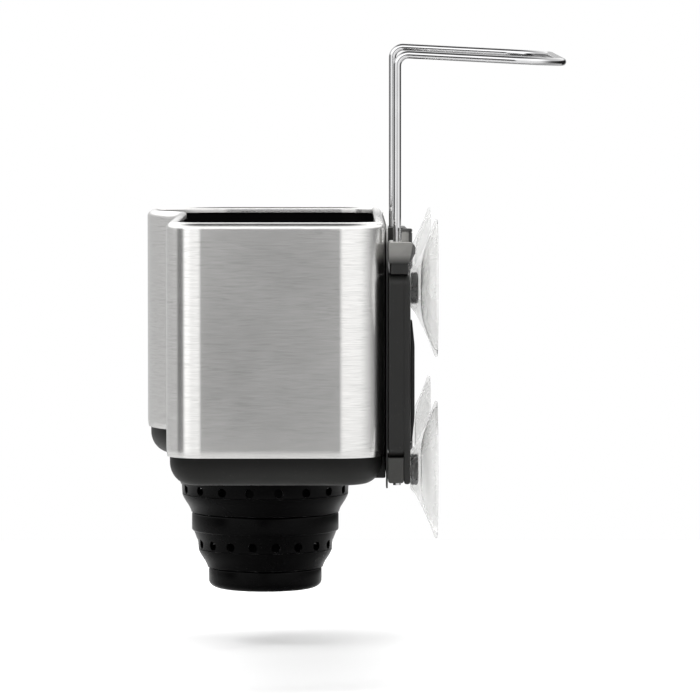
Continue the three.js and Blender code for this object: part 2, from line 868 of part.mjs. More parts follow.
function rearBracket() {
  const frame = plateAlongY(frameShape(bracketBottomZ), bracketFrontY, bracketRearY,
    frameCornerSteps);
  const tools = [];
  const stopRun = legTravel + stopRingHeight + clearance + overrun;
  for (const side of [1, -1]) {
    tools.push(cylinderAlongZ(legGuideRadius, bracketBottomZ - overrun,
      bracketTopZ + overrun, side * legX, legY, boreSides));
    tools.push(ringChannel(side * legX, bracketTopZ - stopRun, bracketTopZ + overrun));
  }
  for (const [x, z] of cupPlaces()) {
    tools.push(cylinderAlongY(cupHeadRadius + clearance, bracketRearY - cupHeadPocket(),
      bracketRearY + overrun, x, z, boreSides));
  }
  for (const [x, z] of screwPlaces(bandScrewSpacing)) {
    tools.push(cylinderAlongY(screwRadius + clearance, bracketFrontY - overrun,
      bracketRearY - screwEndWall, x, z, boreSides));
  }
  for (const [x, z] of screwPlaces(coverScrewSpacing)) {
    tools.push(cylinderAlongY(screwRadius + clearance, bracketRearY - coverScrewLength,
      bracketRearY + overrun, x, z, boreSides));
  }
  return cut(frame, tools);
}

function cupHeadPocket() {
  return cupHeadThickness + cupHeadPlay;
}

// Wall-side cover: the same frame with longer, rounded post ends, holes for cups and screws

function wallCover() {
  const frame = plateAlongY(frameShape(bracketBottomZ), coverFrontY, coverRearY,
    frameCornerSteps);
  const ends = [1, -1].map((side) => {
    const middle = (coverFrontY + coverRearY) / 2;
    const shape = polygonShape([
      [coverFrontY, bracketBottomZ + bracketCorner],
      [coverFrontY, coverBottomZ + coverEdgeRound],
      [middle - coverEdgeRound / 2, coverBottomZ],
      [middle + coverEdgeRound / 2, coverBottomZ],
      [coverRearY, coverBottomZ + coverEdgeRound],
      [coverRearY, bracketBottomZ + bracketCorner],
    ]);
    return barAlongX(shape, side * legX, bracketPostWidth, straightSteps);
  });
  const tools = [];
  for (const [x, z] of cupPlaces()) {
    tools.push(cylinderAlongY(cupNeckRadius + clearance, coverFrontY - overrun,
      coverRearY + overrun, x, z, boreSides));
  }
  for (const [x, z] of screwPlaces(coverScrewSpacing)) {
    tools.push(cylinderAlongY(screwRadius + clearance, coverFrontY - overrun,
      coverRearY + overrun, x, z, boreSides));
    tools.push(cylinderAlongY(coverScrewHeadRadius + clearance,
      coverRearY - coverScrewHeadHeight - clearance, coverRearY + overrun, x, z, boreSides));
  }
  return cut(join([frame, ...ends]), tools);
}

// Guide caps: a block with a set-back neck that stands on the post, bored for the leg and its bush

function guideCap(side) {
  const rear = coverRearY + guideCapWallProud;
  const block = barAlongX(polygonShape([
    [bracketFrontY, capShoulderZ],
    [bracketFrontY, capTopZ - capEdgeRound],
    [bracketFrontY + capEdgeRound, capTopZ],
    [rear - guideCapChamfer, capTopZ],
    [rear, capTopZ - guideCapChamfer],
    [rear, capShoulderZ + guideCapHeight / 2],
    [coverRearY, capShoulderZ],
  ]), side * legX, bracketPostWidth, straightSteps);
  const neck = boxBetween(
    [side * legX - bracketPostWidth / 2 + guideCapNeckInset, bracketFrontY + capEdgeRound, capBottomZ],
    [side * legX + bracketPostWidth / 2 - guideCapNeckInset, coverRearY - capEdgeRound,
      capShoulderZ + capEdgeRound]);
  const tools = [
    cylinderAlongZ(legGuideRadius, capBottomZ - overrun, capTopZ + overrun, side * legX, legY, boreSides),
    cylinderAlongZ(bushRadius + clearance, capBottomZ - overrun, capTopZ - bushTopLand,
      side * legX, legY, boreSides),
  ];
  if (side > 0) {
    tools.push(cylinderAlongZ(buttonRadius + clearance, buttonBottomZ - springHeight - clearance * 2,
      capTopZ + overrun, buttonX, buttonY, boreSides));
  }
  return cut(join([block, neck]), tools);
}

// Friction bush that grips the leg under the cap's upper land
function legBush(side) {
  const bottom = capBottomZ + clearance;
  const top = capTopZ - bushTopLand - clearance;
  return cut(
    cylinderAlongZ(bushRadius, bottom, top, side * legX, legY, boreSides),
    [cylinderAlongZ(legGuideRadius, bottom - overrun, top + overrun, side * legX, legY, boreSides)]);
}

function footCap(side) {
  const top = bracketBottomZ - clearance;
  const block = barAlongX(polygonShape([
    [bracketFrontY, top],
    [bracketFrontY, footCapBottomZ + capEdgeRound],
    [bracketFrontY + capEdgeRound, footCapBottomZ],
    [bracketRearY - capEdgeRound, footCapBottomZ],
    [bracketRearY, footCapBottomZ + capEdgeRound],
    [bracketRearY, top],
  ]), side * legX, bracketPostWidth, straightSteps);
  const tools = [cylinderAlongZ(legGuideRadius, footCapBottomZ - overrun, top + overrun,
    side * legX, legY, boreSides)];
  for (const [x, z] of cupPlaces()) {
    tools.push(cylinderAlongY(cupHeadRadius + clearance, bracketRearY - cupHeadPocket(),
      bracketRearY + overrun, x, z, boreSides));
  }
  return cut(block, tools);
}

// Lock button and its spring, in a bore of the near guide cap

const buttonX = legX + buttonFromLeg;
const buttonY = legY + buttonTowardWall;
const buttonBottomZ = capTopZ - buttonGuideLength;
const buttonTopZ = capTopZ + buttonProud;

function lockButton() {
  const button = turnedUpright([
    [0, buttonBottomZ],
    [buttonRadius, buttonBottomZ],
    [buttonRadius, buttonTopZ - buttonDome],
    [buttonRadius - buttonDome, buttonTopZ],
    [0, buttonTopZ],
  ], boreSides);
  button.translate(buttonX, buttonY, 0);
  return button;
}

// A path that stops only at given stations, so straight runs take no extra faces
class StationPath extends THREE.Curve {
  constructor(stations) {
    super();
    this.stations = stations;
  }

  stationAt(share) {
    return Math.round(share * (this.stations.length - 1));
  }

  getPoint(share) {
    return this.stations[this.stationAt(share)].clone();
  }

  getPointAt(share) {
    return this.getPoint(share);
  }

  getTangentAt(share) {
    const here = this.stationAt(share);
    const last = this.stations.length - 1;
    const before = this.stations[Math.max(here - 1, 0)];
    const after = this.stations[Math.min(here + 1, last)];
    return after.clone().sub(before).normalize();
  }
}

function tubeThrough(stations, radius, sides) {
  const section = new THREE.Shape();
  for (let side = 0; side < sides; side += 1) {
    const angle = (Math.PI * 2 * side) / sides;
    const x = radius * Math.cos(angle);
    const y = radius * Math.sin(angle);
    if (side === 0) {
      section.moveTo(x, y);
    } else {
      section.lineTo(x, y);
    }
  }
  const geometry = new THREE.ExtrudeGeometry(section, {
    steps: stations.length - 1, bevelEnabled: false, extrudePath: new StationPath(stations),
  });
  return facingOut(mergeVertices(withoutSeams(geometry)));
}

function lockSpring() {
  const stations = [];
  const steps = springTurns * springStepsPerTurn;
  const bottom = buttonBottomZ - springHeight - clearance + springWireRadius;
  const rise = springHeight - springWireRadius * 2;
  for (let step = 0; step <= steps; step += 1) {
    const angle = (Math.PI * 2 * step) / springStepsPerTurn;
    stations.push(new THREE.Vector3(
      buttonX + springRadius * Math.cos(angle),
      buttonY + springRadius * Math.sin(angle),
      bottom + (rise * step) / steps));
  }
  return tubeThrough(stations, springWireRadius, springSides);
}

// Hanger: up one leg, over the bend, out along the drooping arm, round the loop's end and back

// Points of a bend of given radius between two straight runs that meet at a corner
function bendAt(corner, fromPoint, toPoint, radius, steps) {
  const back = fromPoint.clone().sub(corner).normalize();
  const ahead = toPoint.clone().sub(corner).normalize();
  const half = back.angleTo(ahead) / 2;
  const centre = corner.clone().add(
    back.clone().add(ahead).normalize().multiplyScalar(radius / Math.sin(half)));
  const start = corner.clone().add(back.multiplyScalar(radius / Math.tan(half)));
  const end = corner.clone().add(ahead.multiplyScalar(radius / Math.tan(half)));
  const fromArm = start.sub(centre);
  const toArm = end.sub(centre);
  const turn = fromArm.angleTo(toArm);
  const points = [];
  for (let step = 0; step <= steps; step += 1) {
    const share = step / steps;
    const fromShare = Math.sin((1 - share) * turn) / Math.sin(turn);
    const toShare = Math.sin(share * turn) / Math.sin(turn);
    points.push(centre.clone()
      .add(fromArm.clone().multiplyScalar(fromShare))
      .add(toArm.clone().multiplyScalar(toShare)));
  }
  return points;
}

function hangerWire() {
  const reachY = legY + hangerReach;
  const nearFoot = new THREE.Vector3(legX, legY, legTipZ);
  const nearTop = new THREE.Vector3(legX, legY, hangerTopZ);
  const nearEnd = new THREE.Vector3(legX, reachY, hangerTopZ - hangerDroop);
  const farEnd = new THREE.Vector3(-legX, reachY, hangerTopZ - hangerDroop + hangerFarRise);
  const farTop = new THREE.Vector3(-legX, legY, hangerTopZ + hangerFarRise);
  const farFoot = new THREE.Vector3(-legX, legY, legTipZ);
  return tubeThrough([
    nearFoot,
    ...bendAt(nearTop, nearFoot, nearEnd, hangerBendRadius, bendSteps),
    ...bendAt(nearEnd, nearTop, farEnd, hangerCornerRadius, loopCornerSteps),
    ...bendAt(farEnd, nearEnd, farTop, hangerCornerRadius, loopCornerSteps),
    ...bendAt(farTop, farEnd, farFoot, hangerBendRadius, bendSteps),
    farFoot,
  ], wireRadius, wireSides);
}

// Ring on a leg that meets the bush when the loop is fully up
function stopRing(side) {
  const top = bracketTopZ;
  const bottom = top - stopRingHeight;
  return cut(
    cylinderAlongZ(stopRingRadius, bottom, top, side * legX, legY, boreSides),
    [cylinderAlongZ(wireRadius + clearance, bottom - overrun, top + overrun,
      side * legX, legY, boreSides)]);
}

// Suction cups: a cone with a lip on the wall plane, a groove for the hub and a head behind the cover

function suctionCup([x, z]) {
  const back = coverRearY + clearance;
  const hubFace = back + clearance + hubThickness + clearance;
  const headRear = coverFrontY - clearance;
  const cup = turnedAlongY([
    [0, headRear - cupHeadThickness],
    [cupHeadRadius, headRear - cupHeadThickness],
    [cupHeadRadius, headRear],
    [cupNeckRadius, headRear],
    [cupNeckRadius, hubFace],
    [hubRadius + clearance, hubFace],
    [hubRadius + clearance, back],
    [cupBackRadius, back],
    [cupShoulderRadius, -cupShoulderDepth],
    [cupRadius, -cupLipThickness],
    [cupRadius, 0],
    [cupRadius - cupLipWidth, 0],
    [cupRadius - cupLipWidth - cupLipThickness / 2, -cupLipThickness],
    [cupMidRadius, -cupMidDepth],
    [cupBackRadius, -cupHollowDepth],
    [0, -cupHollowDepth],
  ], suctionSides);
  cup.translate(x, 0, z);
  return cup;
}

function cupHub([x, z]) {
  const back = coverRearY + clearance * 2;
  const ring = turnedAlongY([
    [cupNeckRadius + clearance, back],
    [hubRadius, back],
    [hubRadius, back + hubThickness],
    [cupNeckRadius + clearance, back + hubThickness],
    [cupNeckRadius + clearance, back],
  ], boreSides);
  ring.translate(x, 0, z);
  return ring;
}

// Bumper: a low black pad on the cover, with its ends drawn down to the cover
function bumper(side) {
  const face = coverRearY + clearance;
  const high = cupSpacingUp / 2 - bumperFromCup;
  const low = -high;
  const slope = (high - low) * bumperSlopeShare;
  const endThickness = bumperThickness * bumperEndShare;
  return barAlongX(polygonShape([
    [face, low],
    [face + endThickness, low],
    [face + bumperThickness, low + slope],
    [face + bumperThickness, high - slope],
    [face + endThickness, high],
    [face, high],
  ]), side * legX, bumperWidth, straightSteps);
}

// Screws, each a shank with a low round head

function coverScrew([x, z]) {
  const head = coverRearY - clearance;
  const shoulder = head - coverScrewHeadHeight;
  const screw = turnedAlongY([
    [0, bracketRearY - coverScrewLength + clearance],
    [screwRadius, bracketRearY - coverScrewLength + clearance],
    [screwRadius, shoulder],
    [coverScrewHeadRadius, shoulder],
    [coverScrewHeadRadius, head - clearance],
    [coverScrewHeadRadius - clearance, head],
    [0, head],
  ], screwSides);
  screw.translate(x, 0, z);
  return screw;
}

function bandScrew([x, z]) {
  const shoulder = bodyRearY - bandThickness - clearance;
  const head = shoulder - bandScrewHeadHeight;
  const screw = turnedAlongY([
    [0, head],
    [bandScrewHeadRadius - clearance, head],
    [bandScrewHeadRadius, head + clearance],
    [bandScrewHeadRadius, shoulder],
    [screwRadius, shoulder],
    [screwRadius, bracketRearY - screwEndWall - clearance],
    [0, bracketRearY - screwEndWall - clearance],
  ], screwSides);
  screw.translate(x, 0, z);
  return screw;
}

// Materials

function material(colour, roughness, metalness) {
  return new THREE.MeshStandardMaterial({ color: colour, roughness, metalness });
}

const brushedSteel = material(0xb9b8b5, 0.34, 1);
const polishedSteel = material(0xd6d6d6, 0.12, 1);
const blackPlastic = material(0x0b0b0c, 0.45, 0);
const greyPlastic = material(0x3d3d3a, 0.5, 0);
const lightGreyPlastic = material(0x8f8f8a, 0.5, 0);
const blackSilicone = material(0x0c0c0d, 0.4, 0);
const blackRubber = material(0x111111, 0.7, 0);
const clearVinyl = material(0xe9eae8, 0.15, 0);
const zincSteel = material(0x9a9a98, 0.3, 1);
const whiteNylon = material(0xd8d6cf, 0.5, 0);

// Assembly

const group = new THREE.Group();
const body = new THREE.Group();
const brushCup = new THREE.Group();
const bracket = new THREE.Group();
const hanger = new THREE.Group();
brushCup.position.set(cupAxisX, cupAxisY, 0);
group.add(body, brushCup, bracket, hanger);

function place(parent, name, geometry, look) {
  const mesh = new THREE.Mesh(geometry, look);
  mesh.name = name;
  parent.add(mesh);
}

place(body, 'steel_band', steelBand(), brushedSteel);
place(body, 'base_tray', baseTray(), greyPlastic);
place(body, 'inner_liner', innerLiner(), blackPlastic);
place(body, 'bay_divider', bayDivider(), blackPlastic);
place(body, 'back_plate', backPlate(), zincSteel);

place(brushCup, 'brush_collar', brushCollar(), blackSilicone);
place(brushCup, 'upper_web', thinWeb(bandRadius(0) - bandDraft, upperWebTopZ), blackSilicone);
place(brushCup, 'brush_ring', brushRing(), blackSilicone);
place(brushCup, 'lower_web', thinWeb(bandRadius(1) - bandDraft, lowerWebTopZ), blackSilicone);
place(brushCup, 'brush_bottom', brushBottom(), blackSilicone);

place(bracket, 'rear_bracket', rearBracket(), greyPlastic);
place(bracket, 'wall_cover', wallCover(), greyPlastic);
for (const [name, side] of [['near', 1], ['far', -1]]) {
  place(bracket, `${name}_guide_cap`, guideCap(side), lightGreyPlastic);
  place(bracket, `${name}_foot_cap`, footCap(side), greyPlastic);
  place(bracket, `${name}_leg_bush`, legBush(side), whiteNylon);
  place(bracket, `${name}_bumper`, bumper(side), blackRubber);
  place(hanger, `${name}_stop_ring`, stopRing(side), zincSteel);
}
place(bracket, 'lock_button', lockButton(), greyPlastic);
place(bracket, 'lock_spring', lockSpring(), zincSteel);
place(hanger, 'hanger_wire', hangerWire(), polishedSteel);

cupPlaces().forEach((at, number) => {
  place(bracket, `suction_cup_${number + 1}`, suctionCup(at), clearVinyl);
  place(bracket, `cup_hub_${number + 1}`, cupHub(at), blackPlastic);
});
screwPlaces(coverScrewSpacing).forEach((at, number) => {
  place(bracket, `cover_screw_${number + 1}`, coverScrew(at), zincSteel);
});
screwPlaces(bandScrewSpacing).forEach((at, number) => {
  place(bracket, `band_screw_${number + 1}`, bandScrew(at), zincSteel);
});

export default group;
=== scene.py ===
"""Sink caddy: a steel band with two bays, a folding brush cup, a wire loop and suction cups."""
import logging
import math
from dataclasses import dataclass
from enum import Enum
from typing import Callable, Sequence

import bmesh
import bpy
from mathutils import Matrix, Vector


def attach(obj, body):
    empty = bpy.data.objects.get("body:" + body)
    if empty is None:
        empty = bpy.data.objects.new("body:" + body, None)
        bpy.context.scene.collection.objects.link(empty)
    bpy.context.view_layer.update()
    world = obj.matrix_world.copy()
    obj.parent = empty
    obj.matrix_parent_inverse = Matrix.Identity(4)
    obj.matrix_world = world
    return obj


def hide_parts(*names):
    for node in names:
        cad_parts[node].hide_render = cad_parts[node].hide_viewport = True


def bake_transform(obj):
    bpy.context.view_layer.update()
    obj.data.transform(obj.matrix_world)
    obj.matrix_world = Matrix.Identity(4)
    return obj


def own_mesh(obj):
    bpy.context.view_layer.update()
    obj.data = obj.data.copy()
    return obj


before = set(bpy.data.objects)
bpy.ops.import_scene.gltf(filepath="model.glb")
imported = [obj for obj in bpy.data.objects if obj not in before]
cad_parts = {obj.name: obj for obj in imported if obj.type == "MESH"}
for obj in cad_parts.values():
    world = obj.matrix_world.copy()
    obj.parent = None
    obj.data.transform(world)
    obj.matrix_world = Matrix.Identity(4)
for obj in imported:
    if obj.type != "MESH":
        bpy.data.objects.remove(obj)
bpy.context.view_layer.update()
MM = 0.001
LOG = logging.getLogger("sink_caddy")

Colour = tuple[float, float, float]
Pair = tuple[float, float]
Triple = tuple[float, float, float]


def four_places(reach: float, rows: Pair) -> tuple[Pair, ...]:
    """Returns four places (x, z): near and far in each of two rows."""
    return tuple((x, z) for z in rows for x in (reach, -reach))


# Places and bores that several sub-assemblies share, in millimetres
LEG_X, LEG_Y = 109.0, -19.6
BRUSH_AXIS = (-83.5, -86.2)
BUTTON_PLACE = (115.0, -15.0)
CUP_X, CUP_Z = 98.0, 44.0
CUP_PLACES = four_places(CUP_X, (CUP_Z, -CUP_Z))
SCREW_ROWS = (39.8, -21.95)
BAND_SCREWS = four_places(60.0, SCREW_ROWS)
COVER_SCREWS = four_places(30.0, SCREW_ROWS)
SCREW_BORE = 1.7

# Range that a noise mostly stays in
NOISE_LOW, NOISE_HIGH = 0.3, 0.7


class Body(Enum):
    """Bodies of the mechanism that a piece may ride on."""

    CADDY = "caddy"
    HANGER = "hanger"
    BUTTON = "lock_button"
    BRUSH_RING = "brush_ring"
    BRUSH_BOTTOM = "brush_bottom"


class Across(Enum):
    """Direction in which a flat outline is given its thickness."""

    ALONG_X = "x"
    ALONG_Y = "y"
    UPWARD = "z"


@dataclass(frozen=True)
class Corner:
    """One corner of an outline, in millimetres.

    Args:
        x: First coordinate in the outline's plane.
        y: Second coordinate in the outline's plane.
        radius: Radius of the round that replaces the corner, or zero.
        turn: Angle in degrees by which the outline turns there.
        steps: Number of segments of the round.
    """

    x: float
    y: float
    radius: float = 0.0
    turn: float = 90.0
    steps: int = 6

    @property
    def tangent_length(self) -> float:
        """Returns how far from the corner its round begins, in metres."""
        return self.radius * MM * math.tan(math.radians(self.turn) / 2)


def rectangle(low: Pair, high: Pair, radius: float = 0.0, steps: int = 6) -> list[Corner]:
    """Lists the corners of a rectangle, counter-clockwise.

    Args:
        low: Lowest corner in millimetres.
        high: Highest corner in millimetres.
        radius: Radius of every corner in millimetres.
        steps: Segments of every round corner.

    Returns:
        The four corners.
    """
    places = ((low[0], low[1]), (high[0], low[1]), (high[0], high[1]), (low[0], high[1]))
    return [Corner(x, y, radius, 90.0, steps) for x, y in places]


class Blank:
    """A mesh in the making, which bmesh operators shape until it becomes a piece."""

    def __init__(self) -> None:
        """Starts an empty mesh."""
        self.bm = bmesh.new()

    def outline(self, corners: Sequence[Corner], height: float) -> bmesh.types.BMFace:
        """Lays a flat face with rounded corners.

        Args:
            corners: Corners of the outline, counter-clockwise, in millimetres.
            height: Height of the face in millimetres.

        Returns:
            The face.
        """
        verts = [self.bm.verts.new((c.x * MM, c.y * MM, height * MM)) for c in corners]
        self.bm.faces.new(verts)
        for vert, corner in zip(verts, corners):
            if corner.radius > 0:
                bmesh.ops.bevel(
                    self.bm, geom=[vert], offset=corner.tangent_length, offset_type="OFFSET",
                    segments=corner.steps, profile=0.5, affect="VERTICES", material=-1,
                    clamp_overlap=False)
        self.bm.faces.ensure_lookup_table()
        return self.bm.faces[-1]

    def wall_round(self, corners: Sequence[Corner], profile: Sequence[Pair],
                   solid: bool = False) -> None:
        """Carries a wall profile round an outline by insetting it step by step.

        Args:
            corners: Corners of the outline in millimetres.
            profile: Points (inset, height) in millimetres, from first to last.
            solid: Whether faces close the wall's first and last edge.
        """
        before, *others = profile
        start = before[1] * MM
        face = self.outline(corners, before[1])
        if before[0] > 0:
            bmesh.ops.delete(self.bm, geom=self._inset(face, before[0], 0.0), context="FACES")
        for point in others:
            self._inset(face, point[0] - before[0], point[1] - before[1])
            before = point
        if solid:
            edges = [e for e in self.bm.edges if e.is_boundary
                     and all(abs(v.co.z - start) < MM / 100 for v in e.verts)]
            bmesh.ops.contextual_create(self.bm, geom=edges)
        else:
            bmesh.ops.delete(self.bm, geom=[face], context="FACES")

    def _inset(self, face: bmesh.types.BMFace, width: float,
               rise: float) -> list[bmesh.types.BMFace]:
        """Insets a face and lifts it.

        Args:
            face: The face.
            width: Width of the inset in millimetres.
            rise: Height of the lift in millimetres.

        Returns:
            The faces between the old outline and the new one.
        """
        return bmesh.ops.inset_region(
            self.bm, faces=[face], thickness=width * MM, depth=rise * MM,
            use_even_offset=True, use_boundary=True)["faces"]

    def slab(self, corners: Sequence[Corner], across: Across, low: float, high: float,
             low_round: float = 0.0, high_round: float = 0.0, edge_steps: int = 3) -> None:
        """Gives an outline its thickness and rounds the edges of its two faces.

        Args:
            corners: Corners of the outline in millimetres.
            across: Direction of the thickness.
            low: Lower end of the thickness in millimetres.
            high: Upper end of the thickness in millimetres.
            low_round: Width of the round along the lower face in millimetres.
            high_round: Width of the round along the upper face in millimetres.
            edge_steps: Segments of these rounds.
        """
        part = Blank()
        face = part.outline(corners, low)
        grown = bmesh.ops.extrude_face_region(part.bm, geom=[face])["geom"]
        bmesh.ops.translate(part.bm, vec=(0, 0, (high - low) * MM),
                            verts=[g for g in grown if isinstance(g, bmesh.types.BMVert)])
        bmesh.ops.recalc_face_normals(part.bm, faces=part.bm.faces)
        for level, width in ((low, low_round), (high, high_round)):
            if width > 0:
                part.round_edges(width, edge_steps, 60.0, lambda edge, level=level: all(
                    abs(vert.co.z - level * MM) < MM / 100 for vert in edge.verts))
        swap = {
            Across.UPWARD: Matrix.Identity(4),
            Across.ALONG_X: Matrix(((0, 0, 1, 0), (1, 0, 0, 0), (0, 1, 0, 0), (0, 0, 0, 1))),
            Across.ALONG_Y: Matrix(((1, 0, 0, 0), (0, 0, 1, 0), (0, 1, 0, 0), (0, 0, 0, 1))),
        }[across]
        bmesh.ops.transform(part.bm, matrix=swap, verts=part.bm.verts)
        bmesh.ops.recalc_face_normals(part.bm, faces=part.bm.faces)
        self.take(part)

    def rod(self, centre: Pair, across: Across, low: float, high: float, radius: float,
            steps: int = 32) -> None:
        """Adds a closed round bar.

        Args:
            centre: Place of its axis in the plane of its section, in millimetres.
            across: Direction of the axis.
            low: Lower end in millimetres.
            high: Upper end in millimetres.
            radius: Radius in millimetres.
            steps: Number of sides.
        """
        part = Blank()
        bmesh.ops.create_cone(part.bm, cap_ends=True, segments=steps, radius1=radius * MM,
                              radius2=radius * MM, depth=(high - low) * MM)
        middle = (high + low) / 2
        turn, place = {
            Across.UPWARD: (Matrix.Identity(4), (centre[0], centre[1], middle)),
            Across.ALONG_X: (Matrix.Rotation(math.pi / 2, 4, "Y"), (middle, centre[0], centre[1])),
            Across.ALONG_Y: (Matrix.Rotation(math.pi / 2, 4, "X"), (centre[0], middle, centre[1])),
        }[across]
        bmesh.ops.transform(part.bm, matrix=Matrix.Translation(Vector(place) * MM) @ turn,
                            verts=part.bm.verts)
        self.take(part)

    def bores(self, places: Sequence[Pair], low: float, high: float, radius: float) -> None:
        """Adds a round bar across the wall at each place.

        Args:
            places: Places (x, z) of the axes in millimetres.
            low: Lower end of the bars in millimetres.
            high: Upper end of the bars in millimetres.
            radius: Radius of the bars in millimetres.
        """
        for place in places:
            self.rod(place, Across.ALONG_Y, low, high, radius)

    def take(self, other: "Blank") -> None:
        """Adds another blank's mesh to this one.

        Args:
            other: The blank that is used up.
        """
        carrier = bpy.data.meshes.new("carrier")
        other.bm.to_mesh(carrier)
        other.bm.free()
        self.bm.from_mesh(carrier)
        bpy.data.meshes.remove(carrier)

    def round_edges(self, width: float, steps: int, least_angle: float,
                    chosen: Callable[[bmesh.types.BMEdge], bool] | None = None) -> None:
        """Rounds the sharp edges.

        Args:
            width: Width of the round in millimetres.
            steps: Segments of the round.
            least_angle: Least angle in degrees between the faces of an edge to be rounded.
            chosen: Test that an edge has to pass, where only some edges are rounded.
        """
        edges = [e for e in self.bm.edges if len(e.link_faces) == 2
                 and math.degrees(e.calc_face_angle(0.0)) > least_angle
                 and (chosen is None or chosen(e))]
        bmesh.ops.bevel(self.bm, geom=edges, offset=width * MM, offset_type="OFFSET",
                        segments=steps, profile=0.5, affect="EDGES", material=-1,
                        clamp_overlap=True)

    def close(self) -> None:
        """Merges doubles and turns every face outwards."""
        bmesh.ops.remove_doubles(self.bm, verts=self.bm.verts, dist=MM / 500)
        bmesh.ops.recalc_face_normals(self.bm, faces=self.bm.faces)

    def to_object(self, name: str) -> bpy.types.Object:
        """Makes the scene's object from the mesh.

        Args:
            name: Name of the piece.

        Returns:
            The new object, at the origin.
        """
        mesh = bpy.data.meshes.new(name)
        self.bm.to_mesh(mesh)
        self.bm.free()
        piece = bpy.data.objects.new(name, mesh)
        bpy.context.scene.collection.objects.link(piece)
        return piece

    def to_closed_object(self, name: str) -> bpy.types.Object:
        """Closes the mesh and returns the scene's object made from it."""
        self.close()
        return self.to_object(name)


def harden(piece: bpy.types.Object) -> None:
    """Applies a piece's modifiers to its mesh.

    Args:
        piece: The object that is changed.
    """
    bpy.context.view_layer.update()
    shaped = bpy.data.meshes.new_from_object(
        piece.evaluated_get(bpy.context.evaluated_depsgraph_get()))
    piece.modifiers.clear()
    old = piece.data
    piece.data = shaped
    shaped.name = piece.name
    bpy.data.meshes.remove(old)


def carve(piece: bpy.types.Object, tools: Blank, operation: str = "DIFFERENCE") -> None:
    """Cuts one mesh out of another, or joins the two, for good.

    Args:
        piece: The object that is changed.
        tools: The mesh that is cut away or joined on.
        operation: Name of the boolean operation.
    """
    tool = tools.to_closed_object("cutting_tool")
    step = piece.modifiers.new("carve", "BOOLEAN")
    step.operation = operation
    step.solver = "EXACT"
    step.object = tool
    harden(piece)
    bpy.data.objects.remove(tool)


def turned(name: str, profile: Sequence[Pair], centre: Pair,
           across: Across = Across.UPWARD, steps: int = 96) -> bpy.types.Object:
    """Turns a piece from its profile and merges the seam and the poles.

    Args:
        name: Name of the piece.
        profile: Points in millimetres: the radius, and the place along the axis.
        centre: Place of the axis in millimetres, (x, y) if it is upright, or else (x, z).
        across: Direction of the axis, upward or along y.
        steps: Segments of the full turn.

    Returns:
        The piece.
    """
    upright = across is Across.UPWARD
    axis = (0.0, 0.0, 1.0) if upright else (0.0, 1.0, 0.0)
    middle = Vector((*centre, 0.0) if upright else (centre[0], 0.0, centre[1])) * MM
    blank = Blank()
    verts = [blank.bm.verts.new(middle + Vector((r, 0.0, s) if upright else (r, s, 0.0)) * MM)
             for r, s in profile]
    edges = [blank.bm.edges.new(pair) for pair in zip(verts, verts[1:])]
    bmesh.ops.spin(blank.bm, geom=verts + edges, cent=middle, axis=axis, dvec=(0, 0, 0),
                   angle=math.tau, steps=steps, use_merge=True, use_normal_flip=False,
                   use_duplicate=False)
    bmesh.ops.remove_doubles(blank.bm, verts=blank.bm.verts, dist=MM / 200)
    return blank.to_closed_object(name)


def soften(piece: bpy.types.Object, angle: float = 32.0) -> None:
    """Shades a piece smooth, apart from its sharp edges.

    Args:
        piece: The object that is shaded.
        angle: Angle in degrees past which an edge stays sharp.
    """
    mesh = piece.data
    mesh.polygons.foreach_set("use_smooth", [True] * len(mesh.polygons))
    mesh.set_sharp_from_angle(angle=math.radians(angle))
    mesh.update()


# Shader graphs


